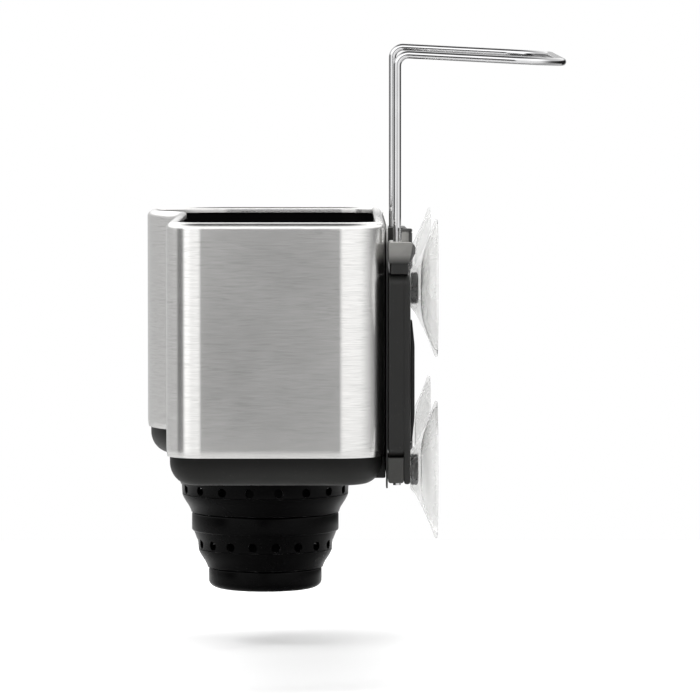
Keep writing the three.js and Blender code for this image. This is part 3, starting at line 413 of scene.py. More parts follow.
class Graph:
    """Writes the nodes of one material, group or world from left to right."""

    def __init__(self, tree: bpy.types.NodeTree) -> None:
        """Starts with an empty tree.

        Args:
            tree: The node tree that is written.
        """
        self.tree = tree
        tree.nodes.clear()

    def add(self, kind: str, values: dict[str, object] | None = None,
            **settings: object) -> bpy.types.Node:
        """Adds a node.

        Args:
            kind: Type name of the node.
            values: Values or source sockets by input name or number.
            settings: Properties of the node.

        Returns:
            The node.
        """
        node = self.tree.nodes.new(kind)
        node.location = (len(self.tree.nodes) * 190.0, 0.0)
        for name, value in settings.items():
            setattr(node, name, value)
        for name, value in (values or {}).items():
            socket = node.inputs[int(name)] if name.isdigit() else node.inputs[name]
            if isinstance(value, bpy.types.NodeSocket):
                self.tree.links.new(value, socket)
            else:
                socket.default_value = value
        return node

    def feed(self, node: bpy.types.Node, name: str, source: bpy.types.NodeSocket) -> None:
        """Links a socket to the named input of a node."""
        self.tree.links.new(source, node.inputs[name])

    def place(self) -> bpy.types.NodeSocket:
        """Returns the place on the object, in metres."""
        return self.add("ShaderNodeTexCoord").outputs["Object"]

    def work_out(self, operation: str, *values: float | bpy.types.NodeSocket
                 ) -> bpy.types.NodeSocket:
        """Returns the result of an operation on numbers or sockets."""
        inputs = {str(number): value for number, value in enumerate(values)}
        return self.add("ShaderNodeMath", inputs, operation=operation).outputs[0]

    def noise(self, place: bpy.types.NodeSocket, scale: float | bpy.types.NodeSocket,
              detail: float, **others: float) -> bpy.types.NodeSocket:
        """Adds a noise.

        Args:
            place: Where the noise is looked up.
            scale: Its scale, per metre of the place.
            detail: Its detail.
            others: Values of its other inputs.

        Returns:
            The socket with the noise.
        """
        return self.add("ShaderNodeTexNoise", {"Vector": place, "Scale": scale,
                                               "Detail": detail, **others}).outputs["Fac"]

    def span(self, value: bpy.types.NodeSocket, low: float, high: float,
             first: float = 0.0, last: float = 1.0) -> bpy.types.NodeSocket:
        """Spreads a value over another range and holds it at both ends.

        Args:
            value: The value.
            low: Value that becomes the first.
            high: Value that becomes the last.
            first: Result at the low value.
            last: Result at the high value.

        Returns:
            The socket with the result.
        """
        return self.add("ShaderNodeMapRange", {
            "Value": value, "From Min": low, "From Max": high, "To Min": first,
            "To Max": last}).outputs[0]

    def mix(self, share: float | bpy.types.NodeSocket, first: bpy.types.NodeSocket,
            second: bpy.types.NodeSocket | Sequence[float],
            blend: str = "MIX") -> bpy.types.NodeSocket:
        """Mixes two colours.

        Args:
            share: Share of the second.
            first: The first colour.
            second: The second colour.
            blend: Way of mixing.

        Returns:
            The socket with the colour.
        """
        return self.add("ShaderNodeMix", {"Factor": share, "6": first, "7": second},
                        data_type="RGBA", blend_type=blend).outputs[2]

    def ramp(self, factor: bpy.types.NodeSocket,
             stops: Sequence[tuple[float, float | Colour]]) -> bpy.types.NodeSocket:
        """Maps a value to a colour or a grey.

        Args:
            factor: The value.
            stops: Places and colours, or places and greys.

        Returns:
            The socket with the colour.
        """
        node = self.add("ShaderNodeValToRGB", {"Fac": factor})
        ramp = node.color_ramp
        while len(ramp.elements) < len(stops):
            ramp.elements.new(0.5)
        for element, (place, tone) in zip(ramp.elements, stops):
            element.position = place
            grey = (tone, tone, tone) if isinstance(tone, (int, float)) else tone
            element.color = (*grey, 1.0)
        return node.outputs["Color"]


class Effect(Enum):
    """Effects that several materials share, each a node group."""

    BRUSHING = "brushing"
    MOULDED_GRAIN = "moulded_grain"
    HANDLING = "handling"


class EffectShelf:
    """Builds each shared effect once and hands out its node group."""

    def __init__(self) -> None:
        """Builds the groups."""
        self.groups = {
            Effect.BRUSHING: self._brushing(),
            Effect.MOULDED_GRAIN: self._moulded_grain(),
            Effect.HANDLING: self._handling(),
        }

    @staticmethod
    def _new_group(effect: Effect, inputs: dict[str, float],
                   outputs: Sequence[str]) -> tuple[Graph, bpy.types.Node, bpy.types.Node]:
        """Makes an empty group with its sockets.

        Args:
            effect: The effect that the group is for.
            inputs: Names and defaults of the inputs.
            outputs: Names of the outputs.

        Returns:
            The group's graph, its input node and its output node.
        """
        tree = bpy.data.node_groups.new(effect.value, "ShaderNodeTree")
        for name, value in inputs.items():
            socket = tree.interface.new_socket(name, in_out="INPUT", socket_type="NodeSocketFloat")
            socket.default_value = value
        for name in outputs:
            tree.interface.new_socket(name, in_out="OUTPUT", socket_type="NodeSocketFloat")
        graph = Graph(tree)
        return graph, graph.add("NodeGroupInput"), graph.add("NodeGroupOutput")

    def _brushing(self) -> bpy.types.NodeTree:
        """Builds level brush lines: fine ones, and sparse longer scratches.

        Returns:
            The node group.
        """
        graph, given, result = self._new_group(
            Effect.BRUSHING, {"Lines per metre": 2600.0, "Run": 100.0}, ("Lines", "Scratches"))
        apart = graph.add("ShaderNodeSeparateXYZ", {"Vector": graph.place()}).outputs
        layers = []
        for density, stretch, detail in ((1.0, 1.0, 3.0), (0.6, 1.2, 1.0)):
            run = graph.work_out("MULTIPLY", given.outputs["Run"], stretch)
            lines = graph.work_out("MULTIPLY", given.outputs["Lines per metre"], density)
            axes = {axis: graph.work_out("MULTIPLY", apart[axis], scale)
                    for axis, scale in (("X", run), ("Y", run), ("Z", lines))}
            spread = graph.add("ShaderNodeCombineXYZ", axes).outputs[0]
            layers.append(graph.noise(spread, 1.0, detail, Roughness=0.6))
        graph.feed(result, "Lines", layers[0])
        graph.feed(result, "Scratches", graph.span(layers[1], 0.60, 0.72))
        return graph.tree

    def _moulded_grain(self) -> bpy.types.NodeTree:
        """Builds the fine pitted grain of moulded plastic or silicone.

        Returns:
            The node group.
        """
        graph, given, result = self._new_group(
            Effect.MOULDED_GRAIN, {"Grains per metre": 2600.0}, ("Height", "Tone"))
        place, grains = graph.place(), given.outputs["Grains per metre"]
        fine = graph.noise(place, grains, 2.0)
        cells = graph.add("ShaderNodeTexVoronoi", {"Vector": place, "Scale": grains})
        graph.feed(result, "Height", graph.work_out("ADD", fine, cells.outputs["Distance"]))
        graph.feed(result, "Tone", graph.noise(place, 38.0, 4.0))
        return graph.tree

    def _handling(self) -> bpy.types.NodeTree:
        """Builds the faint smears and dust that handling leaves.

        Returns:
            The node group.
        """
        graph, given, result = self._new_group(
            Effect.HANDLING, {"Smears per metre": 22.0}, ("Smear", "Dust"))
        place = graph.place()
        smear = graph.noise(place, given.outputs["Smears per metre"], 5.0, Distortion=0.8)
        graph.feed(result, "Smear", smear)
        graph.feed(result, "Dust", graph.span(graph.noise(place, 900.0, 2.0), 0.66, 0.8))
        return graph.tree


class Coat(Graph):
    """The graph of one material: its shader, and the shared effects that feed it."""

    def __init__(self, title: str, shelf: EffectShelf) -> None:
        """Starts a material with a plain shader.

        Args:
            title: Name of the material.
            shelf: The shared effects.
        """
        self.material = bpy.data.materials.new(title)
        self.material.use_nodes = True
        super().__init__(self.material.node_tree)
        self.shelf = shelf
        self.shader = self.add("ShaderNodeBsdfPrincipled")
        self.add("ShaderNodeOutputMaterial", {"Surface": self.shader.outputs[0]})

    def effect(self, effect: Effect, **values: float) -> bpy.types.bpy_prop_collection:
        """Places a shared effect.

        Args:
            effect: Which effect.
            values: Values of its inputs, with underscores for blanks.

        Returns:
            The outputs of the group node.
        """
        inputs = {name.replace("_", " "): value for name, value in values.items()}
        return self.add("ShaderNodeGroup", inputs, node_tree=self.shelf.groups[effect]).outputs

    def even(self, **values: float) -> None:
        """Sets uniform values of the shader, with underscores for blanks in their names."""
        for name, value in values.items():
            self.shader.inputs[name.replace("_", " ")].default_value = value

    def paint(self, colour: bpy.types.NodeSocket) -> None:
        """Feeds the shader's colour."""
        self.feed(self.shader, "Base Color", colour)

    def emboss(self, height: bpy.types.NodeSocket, strength: float, depth: float) -> None:
        """Turns a height into a bump of the surface.

        Args:
            height: The height.
            strength: Strength of the bump.
            depth: Depth of the bump in metres.
        """
        bump = self.add("ShaderNodeBump", {"Height": height, "Strength": strength,
                                           "Distance": depth})
        self.feed(self.shader, "Normal", bump.outputs[0])


@dataclass(frozen=True)
class Finish:
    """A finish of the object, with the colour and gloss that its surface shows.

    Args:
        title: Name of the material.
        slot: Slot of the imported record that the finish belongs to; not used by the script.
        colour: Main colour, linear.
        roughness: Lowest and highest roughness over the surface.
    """

    title: str
    slot: str
    colour: Colour
    roughness: Pair

    def build(self, shelf: EffectShelf) -> bpy.types.Material:
        """Builds the material.

        Args:
            shelf: The shared effects.

        Returns:
            The material.
        """
        coat = Coat(self.title, shelf)
        self.dress(coat)
        return coat.material

    def dress(self, coat: Coat) -> None:
        """Feeds the shader. Each kind of finish does this in its own way."""
        raise NotImplementedError

    def shade(self, amount: float) -> Colour:
        """Returns the colour, lighter or darker by a factor."""
        return tuple(min(1.0, channel * amount) for channel in self.colour)

    def mottle(self, coat: Coat, noise: bpy.types.NodeSocket, dark: float,
               light: float) -> bpy.types.NodeSocket:
        """Spreads the colour between two shades.

        Args:
            coat: The material.
            noise: The noise that it follows.
            dark: Factor of the darker shade.
            light: Factor of the lighter shade.

        Returns:
            The socket with the colour.
        """
        return coat.ramp(noise, ((NOISE_LOW, self.shade(dark)), (NOISE_HIGH, self.shade(light))))

    def rough_over(self, coat: Coat, noise: bpy.types.NodeSocket) -> None:
        """Spreads the roughness between its lowest and highest value over a noise."""
        spread = coat.span(noise, NOISE_LOW, NOISE_HIGH, *self.roughness)
        coat.feed(coat.shader, "Roughness", spread)


@dataclass(frozen=True)
class BrushedMetal(Finish):
    """Steel brushed along the band, with level lines and a few scratches."""

    lines_per_metre: float = 2600.0
    run: float = 100.0
    smears_per_metre: float = 16.0
    scratch_shade: float = 0.89
    anisotropy: float = 0.8

    def dress(self, coat: Coat) -> None:
        """Feeds the shader with brush lines and scratches.

        Args:
            coat: The material.
        """
        brushing = coat.effect(Effect.BRUSHING, Lines_per_metre=self.lines_per_metre,
                               Run=self.run)
        handling = coat.effect(Effect.HANDLING, Smears_per_metre=self.smears_per_metre)
        tone = coat.ramp(brushing["Lines"], ((NOISE_LOW, self.shade(0.92)), (0.5, self.colour),
                                             (NOISE_HIGH, self.shade(1.07))))
        scratch = (*self.shade(self.scratch_shade), 1.0)
        coat.paint(coat.mix(brushing["Scratches"], tone, scratch))
        coat.even(Metallic=1.0, Anisotropic=self.anisotropy, Anisotropic_Rotation=0.25)
        self.rough_over(coat, handling["Smear"])
        coat.emboss(brushing["Lines"], 0.01, 0.00001)


@dataclass(frozen=True)
class PlainMetal(Finish):
    """Polished or plated metal with faint smears, and a rim of painted shade where it turns away
    from the view.
    """

    smears_per_metre: float = 60.0
    rim_tone: float = 1.0
    rim_span: Pair = (0.17, 0.34)

    def dress(self, coat: Coat) -> None:
        """Feeds the shader with smears, and with a darker rim of painted shade where the surface
        turns away from the view.

        Args:
            coat: The material.
        """
        handling = coat.effect(Effect.HANDLING, Smears_per_metre=self.smears_per_metre)
        tone = self.mottle(coat, handling["Smear"], 0.93, 1.03)
        coat.even(Metallic=1.0)
        # Painted shade: the colour darkens where the surface turns away from the view.
        if self.rim_tone < 1:
            facing = coat.add("ShaderNodeLayerWeight", {"Blend": 0.5}).outputs["Facing"]
            rim = (*self.shade(self.rim_tone), 1.0)
            tone = coat.mix(coat.span(facing, *self.rim_span), tone, rim)
        coat.paint(tone)
        self.rough_over(coat, handling["Smear"])


@dataclass(frozen=True)
class Moulded(Finish):
    """Moulded plastic, silicone or rubber with a fine grain."""

    grain: float = 0.08
    grains_per_metre: float = 2600.0
    grain_depth: float = 0.00006
    smears_per_metre: float = 26.0
    dust: float = 0.02
    gloss: float = 0.35

    def dress(self, coat: Coat) -> None:
        """Feeds the shader with the grain, a slow change of tone and specks of dust.

        Args:
            coat: The material.
        """
        grain = coat.effect(Effect.MOULDED_GRAIN, Grains_per_metre=self.grains_per_metre)
        handling = coat.effect(Effect.HANDLING, Smears_per_metre=self.smears_per_metre)
        tone = self.mottle(coat, grain["Tone"], 0.86, 1.12)
        pale = tuple(channel + self.dust for channel in self.colour)
        coat.paint(coat.mix(handling["Dust"], tone, (*pale, 1.0)))
        coat.even(Specular_IOR_Level=self.gloss)
        self.rough_over(coat, handling["Smear"])
        coat.emboss(grain["Height"], self.grain, self.grain_depth)


@dataclass(frozen=True)
class BandedByHeight(Moulded):
    """A moulded finish with painted light and shade: its tone changes with the height, and painted
    shade darkens it at the rear.

    Args:
        tones: Heights in millimetres and the factors of the colour there, as painted light and
            shade.
        rear_start: Place in y, in millimetres, where the rear begins.
        rear_blend: Width of the change there in millimetres.
        rear_lean: How far that place moves with the height.
        rear_tone: Factor of the colour at the rear, or one for no change.
    """

    tones: tuple[Pair, ...] = ((0.0, 1.0), (1.0, 1.0))
    rear_start: float = 0.0
    rear_blend: float = 0.5
    rear_lean: float = 0.0
    rear_tone: float = 1.0

    def dress(self, coat: Coat) -> None:
        """Feeds the shader as for a moulded piece, then paints shade and light on it by height.

        Args:
            coat: The material.
        """
        super().dress(coat)
        tone = coat.shader.inputs["Base Color"].links[0].from_socket
        apart = coat.add("ShaderNodeSeparateXYZ", {"Vector": coat.place()}).outputs
        low, high = self.tones[0][0], self.tones[-1][0]
        # Painted light and shade: the colour is multiplied by a factor that follows the height.
        shade = coat.ramp(coat.span(apart["Z"], low * MM, high * MM),
                          [((level - low) / (high - low), factor) for level, factor in self.tones])
        tone = coat.mix(1.0, tone, shade, "MULTIPLY")
        # Painted shade on the rear side, behind a plane that leans with the height.
        if self.rear_tone < 1:
            lean = coat.work_out("MULTIPLY_ADD", apart["Z"], -self.rear_lean, apart["Y"])
            rear = coat.span(lean, self.rear_start * MM, (self.rear_start + self.rear_blend) * MM,
                             1.0, self.rear_tone)
            tone = coat.mix(1.0, tone, rear, "MULTIPLY")
        coat.paint(tone)


@dataclass(frozen=True)
class ClearVinyl(Finish):
    """Soft clear vinyl, slightly clouded."""

    smears_per_metre: float = 45.0
    refraction: float = 1.006
    clearness: float = 0.90
    gloss: float = 0.25

    def dress(self, coat: Coat) -> None:
        """Feeds the shader with clouding and faint flow lines.

        Args:
            coat: The material.
        """
        handling = coat.effect(Effect.HANDLING, Smears_per_metre=self.smears_per_metre)
        coat.paint(self.mottle(coat, handling["Smear"], 0.94, 1.03))
        coat.even(Transmission_Weight=self.clearness, IOR=self.refraction,
                  Specular_IOR_Level=self.gloss)
        self.rough_over(coat, handling["Smear"])
        coat.emboss(handling["Smear"], 0.05, 0.0004)


class Look(Enum):
    """The finishes of the caddy."""

    BRUSHED_STEEL = BrushedMetal("brushed_steel", "brushed_steel", (0.66, 0.655, 0.645),
                                 (0.23, 0.26))
    # The wire, with a painted dark rim (painted shade) where it turns away from the view.
    POLISHED_STEEL = PlainMetal("polished_steel", "polished_steel", (0.62, 0.62, 0.625),
                                (0.08, 0.13), rim_tone=0.42)
    ZINC_STEEL = PlainMetal("zinc_steel", "zinc_steel", (0.52, 0.52, 0.52), (0.22, 0.34))
    BLACK_PLASTIC = Moulded("black_plastic", "black_plastic", (0.0012, 0.0012, 0.0014),
                            (0.34, 0.46), gloss=0.05, dust=0.004)
    DARK_GREY_PLASTIC = Moulded("dark_grey_plastic", "dark_grey_plastic",
                                (0.0165, 0.0165, 0.0158), (0.40, 0.50), gloss=0.26)
    # Lock button: grey plastic with painted shade on its top above 72 mm and on its wall side.
    GREY_PLASTIC = BandedByHeight("grey_plastic", "grey_plastic", (0.40, 0.395, 0.38),
                                  (0.38, 0.48), tones=(
                                      (61.6, 1.0), (71.6, 1.0), (72.2, 0.16), (73.4, 0.12)),
                                  rear_start=-14.4, rear_tone=0.12)
    # Base tray: painted shade towards its top under the band, and a painted highlight along its
    # bottom edge.
    TRAY_PLASTIC = BandedByHeight("tray_plastic", "dark_grey_plastic",
                                  (0.0215, 0.0215, 0.0205), (0.40, 0.50), gloss=0.13, tones=(
                                      (-49.4, 1.25), (-44.0, 1.0), (-37.5, 0.3), (-29.0, 0.3)))
    # Near guide cap: painted shade in the recess at its neck, growing lighter towards its top
    # face, and painted shade on its wall-side flank.
    CAP_PLASTIC = BandedByHeight("cap_plastic", "grey_plastic", (0.35, 0.345, 0.33),
                                 (0.38, 0.48), gloss=0.3, tones=(
                                     (51.9, 0.05), (56.6, 0.05), (57.4, 0.16), (58.6, 0.34),
                                     (61.0, 0.84), (63.5, 1.0), (67.0, 1.0)),
                                 rear_start=-25.1, rear_lean=0.19, rear_tone=0.14)
    # Far guide cap: the grey cap's plastic painted dark, as painted shadow.
    FAR_CAP_PLASTIC = Moulded("far_cap_plastic", "grey_plastic", (0.022, 0.022, 0.021),
                              (0.38, 0.48), gloss=0.2)
    FOOT_PLASTIC = Moulded("foot_plastic", "dark_grey_plastic", (0.055, 0.055, 0.052),
                           (0.40, 0.50), gloss=0.28)
    # Back plate: zinc steel, bright at its top edge, with painted shade below, darkest under 56
    # mm.
    COATED_PLATE = BandedByHeight("coated_plate", "zinc_steel", (0.55, 0.55, 0.54),
                                  (0.35, 0.45), gloss=0.3, tones=(
                                      (-51.5, 0.07), (56.0, 0.07), (60.0, 0.45), (66.0, 0.5),
                                      (67.5, 1.0), (76.0, 1.0)))
    BLACK_SILICONE = Moulded("black_silicone", "black_silicone", (0.0012, 0.0012, 0.0013),
                             (0.24, 0.34), grain=0.05, grains_per_metre=1800.0, dust=0.006,
                             gloss=0.05)
    BLACK_RUBBER = Moulded("black_rubber", "black_rubber", (0.010, 0.010, 0.010),
                           (0.6, 0.75), dust=0.03)
    CLEAR_VINYL = ClearVinyl("clear_vinyl", "clear_vinyl", (0.915, 0.915, 0.91), (0.20, 0.32))
    NYLON = Moulded("nylon", "nylon", (0.66, 0.64, 0.59), (0.45, 0.55), grain=0.03)


class Workshop:
    """Dresses pieces, seats them on their bodies and reports them."""

    def __init__(self) -> None:
        """Builds every material once."""
        shelf = EffectShelf()
        self.materials = {look: look.value.build(shelf) for look in Look}

    def present(self, piece: bpy.types.Object, look: Look, body: Body,
                replaced: Sequence[str] = (), smooth: float = 32.0) -> bpy.types.Object:
        """Finishes a new piece.

        Args:
            piece: The new piece.
            look: Its finish.
            body: The body that it rides on.
            replaced: CAD nodes that it stands for.
            smooth: Angle in degrees past which an edge stays sharp.

        Returns:
            The piece.
        """
        self.dress(piece, look, smooth)
        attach(piece, body.value)
        if replaced:
            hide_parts(*replaced)
        LOG.info("%s: %s on %s", piece.name, look.value.title, body.value)
        return piece

    def dress(self, piece: bpy.types.Object, look: Look, smooth: float = 32.0) -> None:
        """Gives a piece its finish.

        Args:
            piece: The piece.
            look: Its finish.
            smooth: Angle in degrees past which an edge stays sharp.
        """
        if piece.type == "MESH":
            soften(piece, smooth)
        piece.data.materials.clear()
        piece.data.materials.append(self.materials[look])

    def dress_node(self, node: str, look: Look) -> None:
        """Gives a CAD node that stays in view its finish.

        Args:
            node: Name of the node.
            look: Its finish.
        """
        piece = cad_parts[node]
        for slot in piece.material_slots:
            slot.material = self.materials[look]
        if not piece.material_slots:
            piece.data.materials.append(self.materials[look])
        LOG.info("%s: %s, as packed", node, look.value.title)


def quarter_round(inset: float, height: float, width: float, rise: float,
                  steps: int) -> list[Pair]:
    """Lists the points of a quarter round that leaves the upright and ends level.

    Args:
        inset: Inset where it begins in millimetres.
        height: Height where it ends in millimetres.
        width: How far the inset grows on the way in millimetres.
        rise: How far above its end it begins in millimetres.
        steps: Number of segments.

    Returns:
        Points (inset, height).
    """
    angles = [math.pi / 2 * step / steps for step in range(steps + 1)]
    return [(inset + width * (1 - math.cos(angle)), height + rise * (1 - math.sin(angle)))
            for angle in angles]


def level_round(inset: float, height: float, width: float, rise: float,
                steps: int) -> list[Pair]:
    """Lists the points of a quarter round that leaves the level and ends upright.

    Args:
        inset: Inset where it ends in millimetres.
        height: Height where it begins in millimetres.
        width: How far beyond its end's inset it begins in millimetres.
        rise: How far the height grows on the way in millimetres.
        steps: Number of segments.

    Returns:
        Points (inset, height).
    """
    return [(x, z) for z, x in quarter_round(height, inset, rise, width, steps)]


@dataclass
class CaddyBody:
    """Steel band, base tray, inner liner and divider. Sizes in millimetres."""

    half_length: float = 137.5
    rear: float = -25.2
    sponge_front: float = -130.4
    brush_front: float = -147.2
    rear_radius: float = 22.5
    front_radius: float = 17.5
    bulge_far_radius: float = 42.0
    bulge_near_radius: float = 46.0
    fillet_radius: float = 20.0
    bulge_turn: float = 41.8
    bulge_corner_x: float = -62.94
    fillet_corner_x: float = -44.14
    band_top: float = 76.8
    band_bottom: float = -35.6
    band_thickness: float = 1.0
    roll_radius: float = 3.3
    rim_width: float = 4.9
    lip_radius: float = 1.3
    lip_drop: float = 3.0
    hem_height: float = 4.2
    hem_steps: int = 6
    hem_inset: float = 0.45
    base_bottom: float = -49.4
    base_inset: float = 1.6
    base_wall: float = 2.0
    spigot_top: float = -29.0
    spigot_inset: float = 1.3
    play: float = 0.3
    rail_half: float = 115.0
    rail_depth: float = 9.0
    rail_span: Pair = (-46.8, -35.9)
    liner_floor: float = -44.8
    liner_wall: float = 1.8
    liner_top: float = 74.2
    liner_inset: float = 1.3
    liner_foot_inset: float = 4.2
    rib_size: float = 1.5
    rib_span: Pair = (-27.8, 50.8)
    base_opening: float = 41.0
    liner_opening: float = 37.7
    slot_width: float = 5.0
    slot_length: float = 34.0
    slot_pitch: float = 14.0
    first_slot_x: float = -18.5
    last_slot_x: float = 113.0
    divider_x: float = -32.5
    divider_thickness: float = 2.0
    dip: Triple = (30.0, 17.0, 18.0)

    def plan(self) -> list[Corner]:
        """Returns the caddy's outline seen from above, counter-clockwise."""
        return [
            Corner(-self.half_length, self.brush_front, self.bulge_far_radius, 90.0, 26),
            Corner(self.bulge_corner_x, self.brush_front, self.bulge_near_radius,
                   self.bulge_turn, 16),
            Corner(self.fillet_corner_x, self.sponge_front, self.fillet_radius,
                   self.bulge_turn, 12),
            Corner(self.half_length, self.sponge_front, self.front_radius, 90.0, 18),
            Corner(self.half_length, self.rear, self.rear_radius, 90.0, 20),
            Corner(-self.half_length, self.rear, self.rear_radius, 90.0, 20),
        ]

    def steel_band(self) -> bpy.types.Object:
        """Bends the band from one sheet: hem, wall, rolled rim and lip.

        Returns:
            The band.
        """
        top, steps = self.band_top, self.hem_steps
        hem = [(self.hem_inset * (1 - math.sin(math.pi / 2 * step / steps)),
                self.band_bottom + self.hem_height * step / steps)
               for step in range(steps + 1)]
        blank = Blank()
        blank.wall_round(self.plan(), [
            *hem,
            *quarter_round(0.0, top, self.roll_radius, -self.roll_radius, 10),
            *level_round(self.rim_width, top, -self.lip_radius, -self.lip_radius, 5),
            (self.rim_width, top - self.lip_drop),
        ])
        bmesh.ops.recalc_face_normals(blank.bm, faces=blank.bm.faces)
        inside = Vector((0.0, (self.rear + self.sponge_front) / 2, 0.0)) * MM
        outward = sum(face.normal.dot(face.calc_center_median() - inside)
                      for face in blank.bm.faces if abs(face.normal.z) < 0.1)
        if outward < 0:
            bmesh.ops.reverse_faces(blank.bm, faces=blank.bm.faces)
        band = blank.to_object("steel_band_fine")
        sheet = band.modifiers.new("sheet", "SOLIDIFY")
        sheet.thickness = self.band_thickness * MM
        sheet.offset = -1.0
        sheet.use_even_offset = True
        harden(band)
        holes = Blank()
        holes.bores(BAND_SCREWS, self.rear - 3, self.rear + 3, SCREW_BORE)
        carve(band, holes)
        return band

    def base_tray(self) -> bpy.types.Object:
        """Moulds the tray, with its rail along the rear, drain slots and the cup's opening.

        Returns:
            The tray.
        """
        inner = self.base_inset + self.base_wall
        seat = self.band_bottom - self.play
        blank = Blank()
        blank.wall_round(self.plan(), [
            *reversed(quarter_round(inner, self.base_bottom + self.base_wall, 8.0, 9.0, 10)),
            (inner, self.spigot_top), (self.spigot_inset, self.spigot_top),
            (self.spigot_inset, seat), (self.base_inset, seat),
            *quarter_round(self.base_inset, self.base_bottom, 10.0, 11.0, 12),
        ], solid=True)
        tray = blank.to_closed_object("base_tray_fine")
        rail = Blank()
        rail.slab(rectangle((-self.rail_half, self.rear - self.rail_depth),
                            (self.rail_half, self.rear), 0.8, 3),
                  Across.UPWARD, *self.rail_span, 0.7, 0.7)
        carve(tray, rail, "UNION")
        cuts = Blank()
        cuts.rod(BRUSH_AXIS, Across.UPWARD, -60.0, -40.0, self.base_opening, 96)
        self.add_slots(cuts, -60.0, -40.0, self.slot_pitch * 2)
        carve(tray, cuts)
        return tray

    def add_slots(self, blank: Blank, low: float, high: float, pitch: float) -> None:
        """Adds the drain slots of the sponge bay to a cutting tool.

        Args:
            blank: The cutting tool.
            low: Lower end of the slots in millimetres.
            high: Upper end of the slots in millimetres.
            pitch: Distance between slots in millimetres.
        """
        middle = (self.rear + self.sponge_front) / 2
        count = math.floor((self.last_slot_x - self.first_slot_x) / pitch)
        for column in range(count + 1):
            x = self.first_slot_x + column * pitch
            for side in (-1, 1):
                y = middle + side * (self.slot_length / 2 + self.slot_width)
                blank.slab(rectangle(
                    (x - self.slot_width / 2, y - self.slot_length / 2),
                    (x + self.slot_width / 2, y + self.slot_length / 2),
                    self.slot_width / 2 - 0.02, 6), Across.UPWARD, low, high)

    def inner_liner(self) -> bpy.types.Object:
        """Moulds the liner: walls, floor with slots, ribs for the divider.

        Returns:
            The liner.
        """
        wall, high, low = self.liner_wall, self.liner_inset, self.liner_foot_inset
        ledge, top = self.spigot_top + self.play, self.liner_top
        blank = Blank()
        blank.wall_round(self.plan(), [
            *reversed(quarter_round(low + wall, self.liner_floor + wall, 5.6, 4.6, 8)),
            (low + wall, ledge + wall - 0.6),
            (low + wall - 0.3, ledge + wall - 0.1),
            (high + wall + 0.6, ledge + wall),
            (high + wall, ledge + wall + 0.6),
            (high + wall, top - 0.4), (high + wall - 0.4, top),
            (high + 0.4, top), (high, top - 0.4),
            (high, ledge), (low, ledge),
            *quarter_round(low, self.liner_floor, 7.4, 6.4, 8),
        ], solid=True)
        liner = blank.to_closed_object("inner_liner_fine")
        ribs = Blank()
        size, start = self.rib_size, high + wall / 2
        for span in ((self.rear - high - wall - size, self.rear - start),
                     (self.sponge_front + start, self.sponge_front + high + wall + size)):
            for side in (-1, 1):
                near = self.divider_x + side * (self.divider_thickness / 2 + self.play)
                low_x, high_x = sorted((near, near + side * size))
                ribs.slab(rectangle((low_x, span[0]), (high_x, span[1])),
                          Across.UPWARD, *self.rib_span, 0.0, 0.3, 2)
        carve(liner, ribs, "UNION")
        cuts = Blank()
        cuts.rod(BRUSH_AXIS, Across.UPWARD, -60.0, -41.0, self.liner_opening, 96)
        self.add_slots(cuts, -60.0, -41.0, self.slot_pitch)
        cuts.bores(BAND_SCREWS, self.rear - 8, self.rear - 0.5, 4.1)
        carve(liner, cuts)
        return liner

    def bay_divider(self) -> bpy.types.Object:
        """Cuts the divider, with a rounded dip for a hand.

        Returns:
            The divider.
        """
        middle, half = (self.rear + self.sponge_front) / 2, self.divider_thickness / 2
        low, high, foot = 6.3, 3.4, 11.6
        floor, ledge, top = -42.7, -26.6, 62.8
        wide, narrow, depth = self.dip
        front, rear = self.sponge_front, self.rear
        blank = Blank()
        blank.slab([
            Corner(front + foot, floor),
            Corner(rear - foot, floor, 4.0, 45.0, 4),
            Corner(rear - low, floor + foot / 2, 2.0, 45.0, 4),
            Corner(rear - low, ledge),
            Corner(rear - high, ledge, 0.8, 90.0, 3),
            Corner(rear - high, top, 3.0),
            *(Corner(middle + reach, level, 14.0, 60.0, 8)
              for reach, level in ((wide, top), (narrow, top - depth), (-narrow, top - depth),
                                   (-wide, top))),
            Corner(front + high, top, 3.0),
            Corner(front + high, ledge, 0.8, 90.0, 3),
            Corner(front + low, ledge),
            Corner(front + low, floor + foot / 2, 2.0, 45.0, 4),
        ], Across.ALONG_X, self.divider_x - half, self.divider_x + half, 0.5, 0.5)
        return blank.to_object("bay_divider_fine")

    def build(self, shop: Workshop) -> None:
        """Builds and dresses the body's pieces.

        Args:
            shop: The workshop that finishes pieces.
        """
        shop.present(self.steel_band(), Look.BRUSHED_STEEL, Body.CADDY, ["steel_band"], 40.0)
        # The tray's finish paints shade towards its top and a highlight along its bottom edge.
        shop.present(self.base_tray(), Look.TRAY_PLASTIC, Body.CADDY, ["base_tray"])
        shop.present(self.inner_liner(), Look.BLACK_PLASTIC, Body.CADDY, ["inner_liner"])
        shop.present(self.bay_divider(), Look.BLACK_PLASTIC, Body.CADDY, ["bay_divider"])


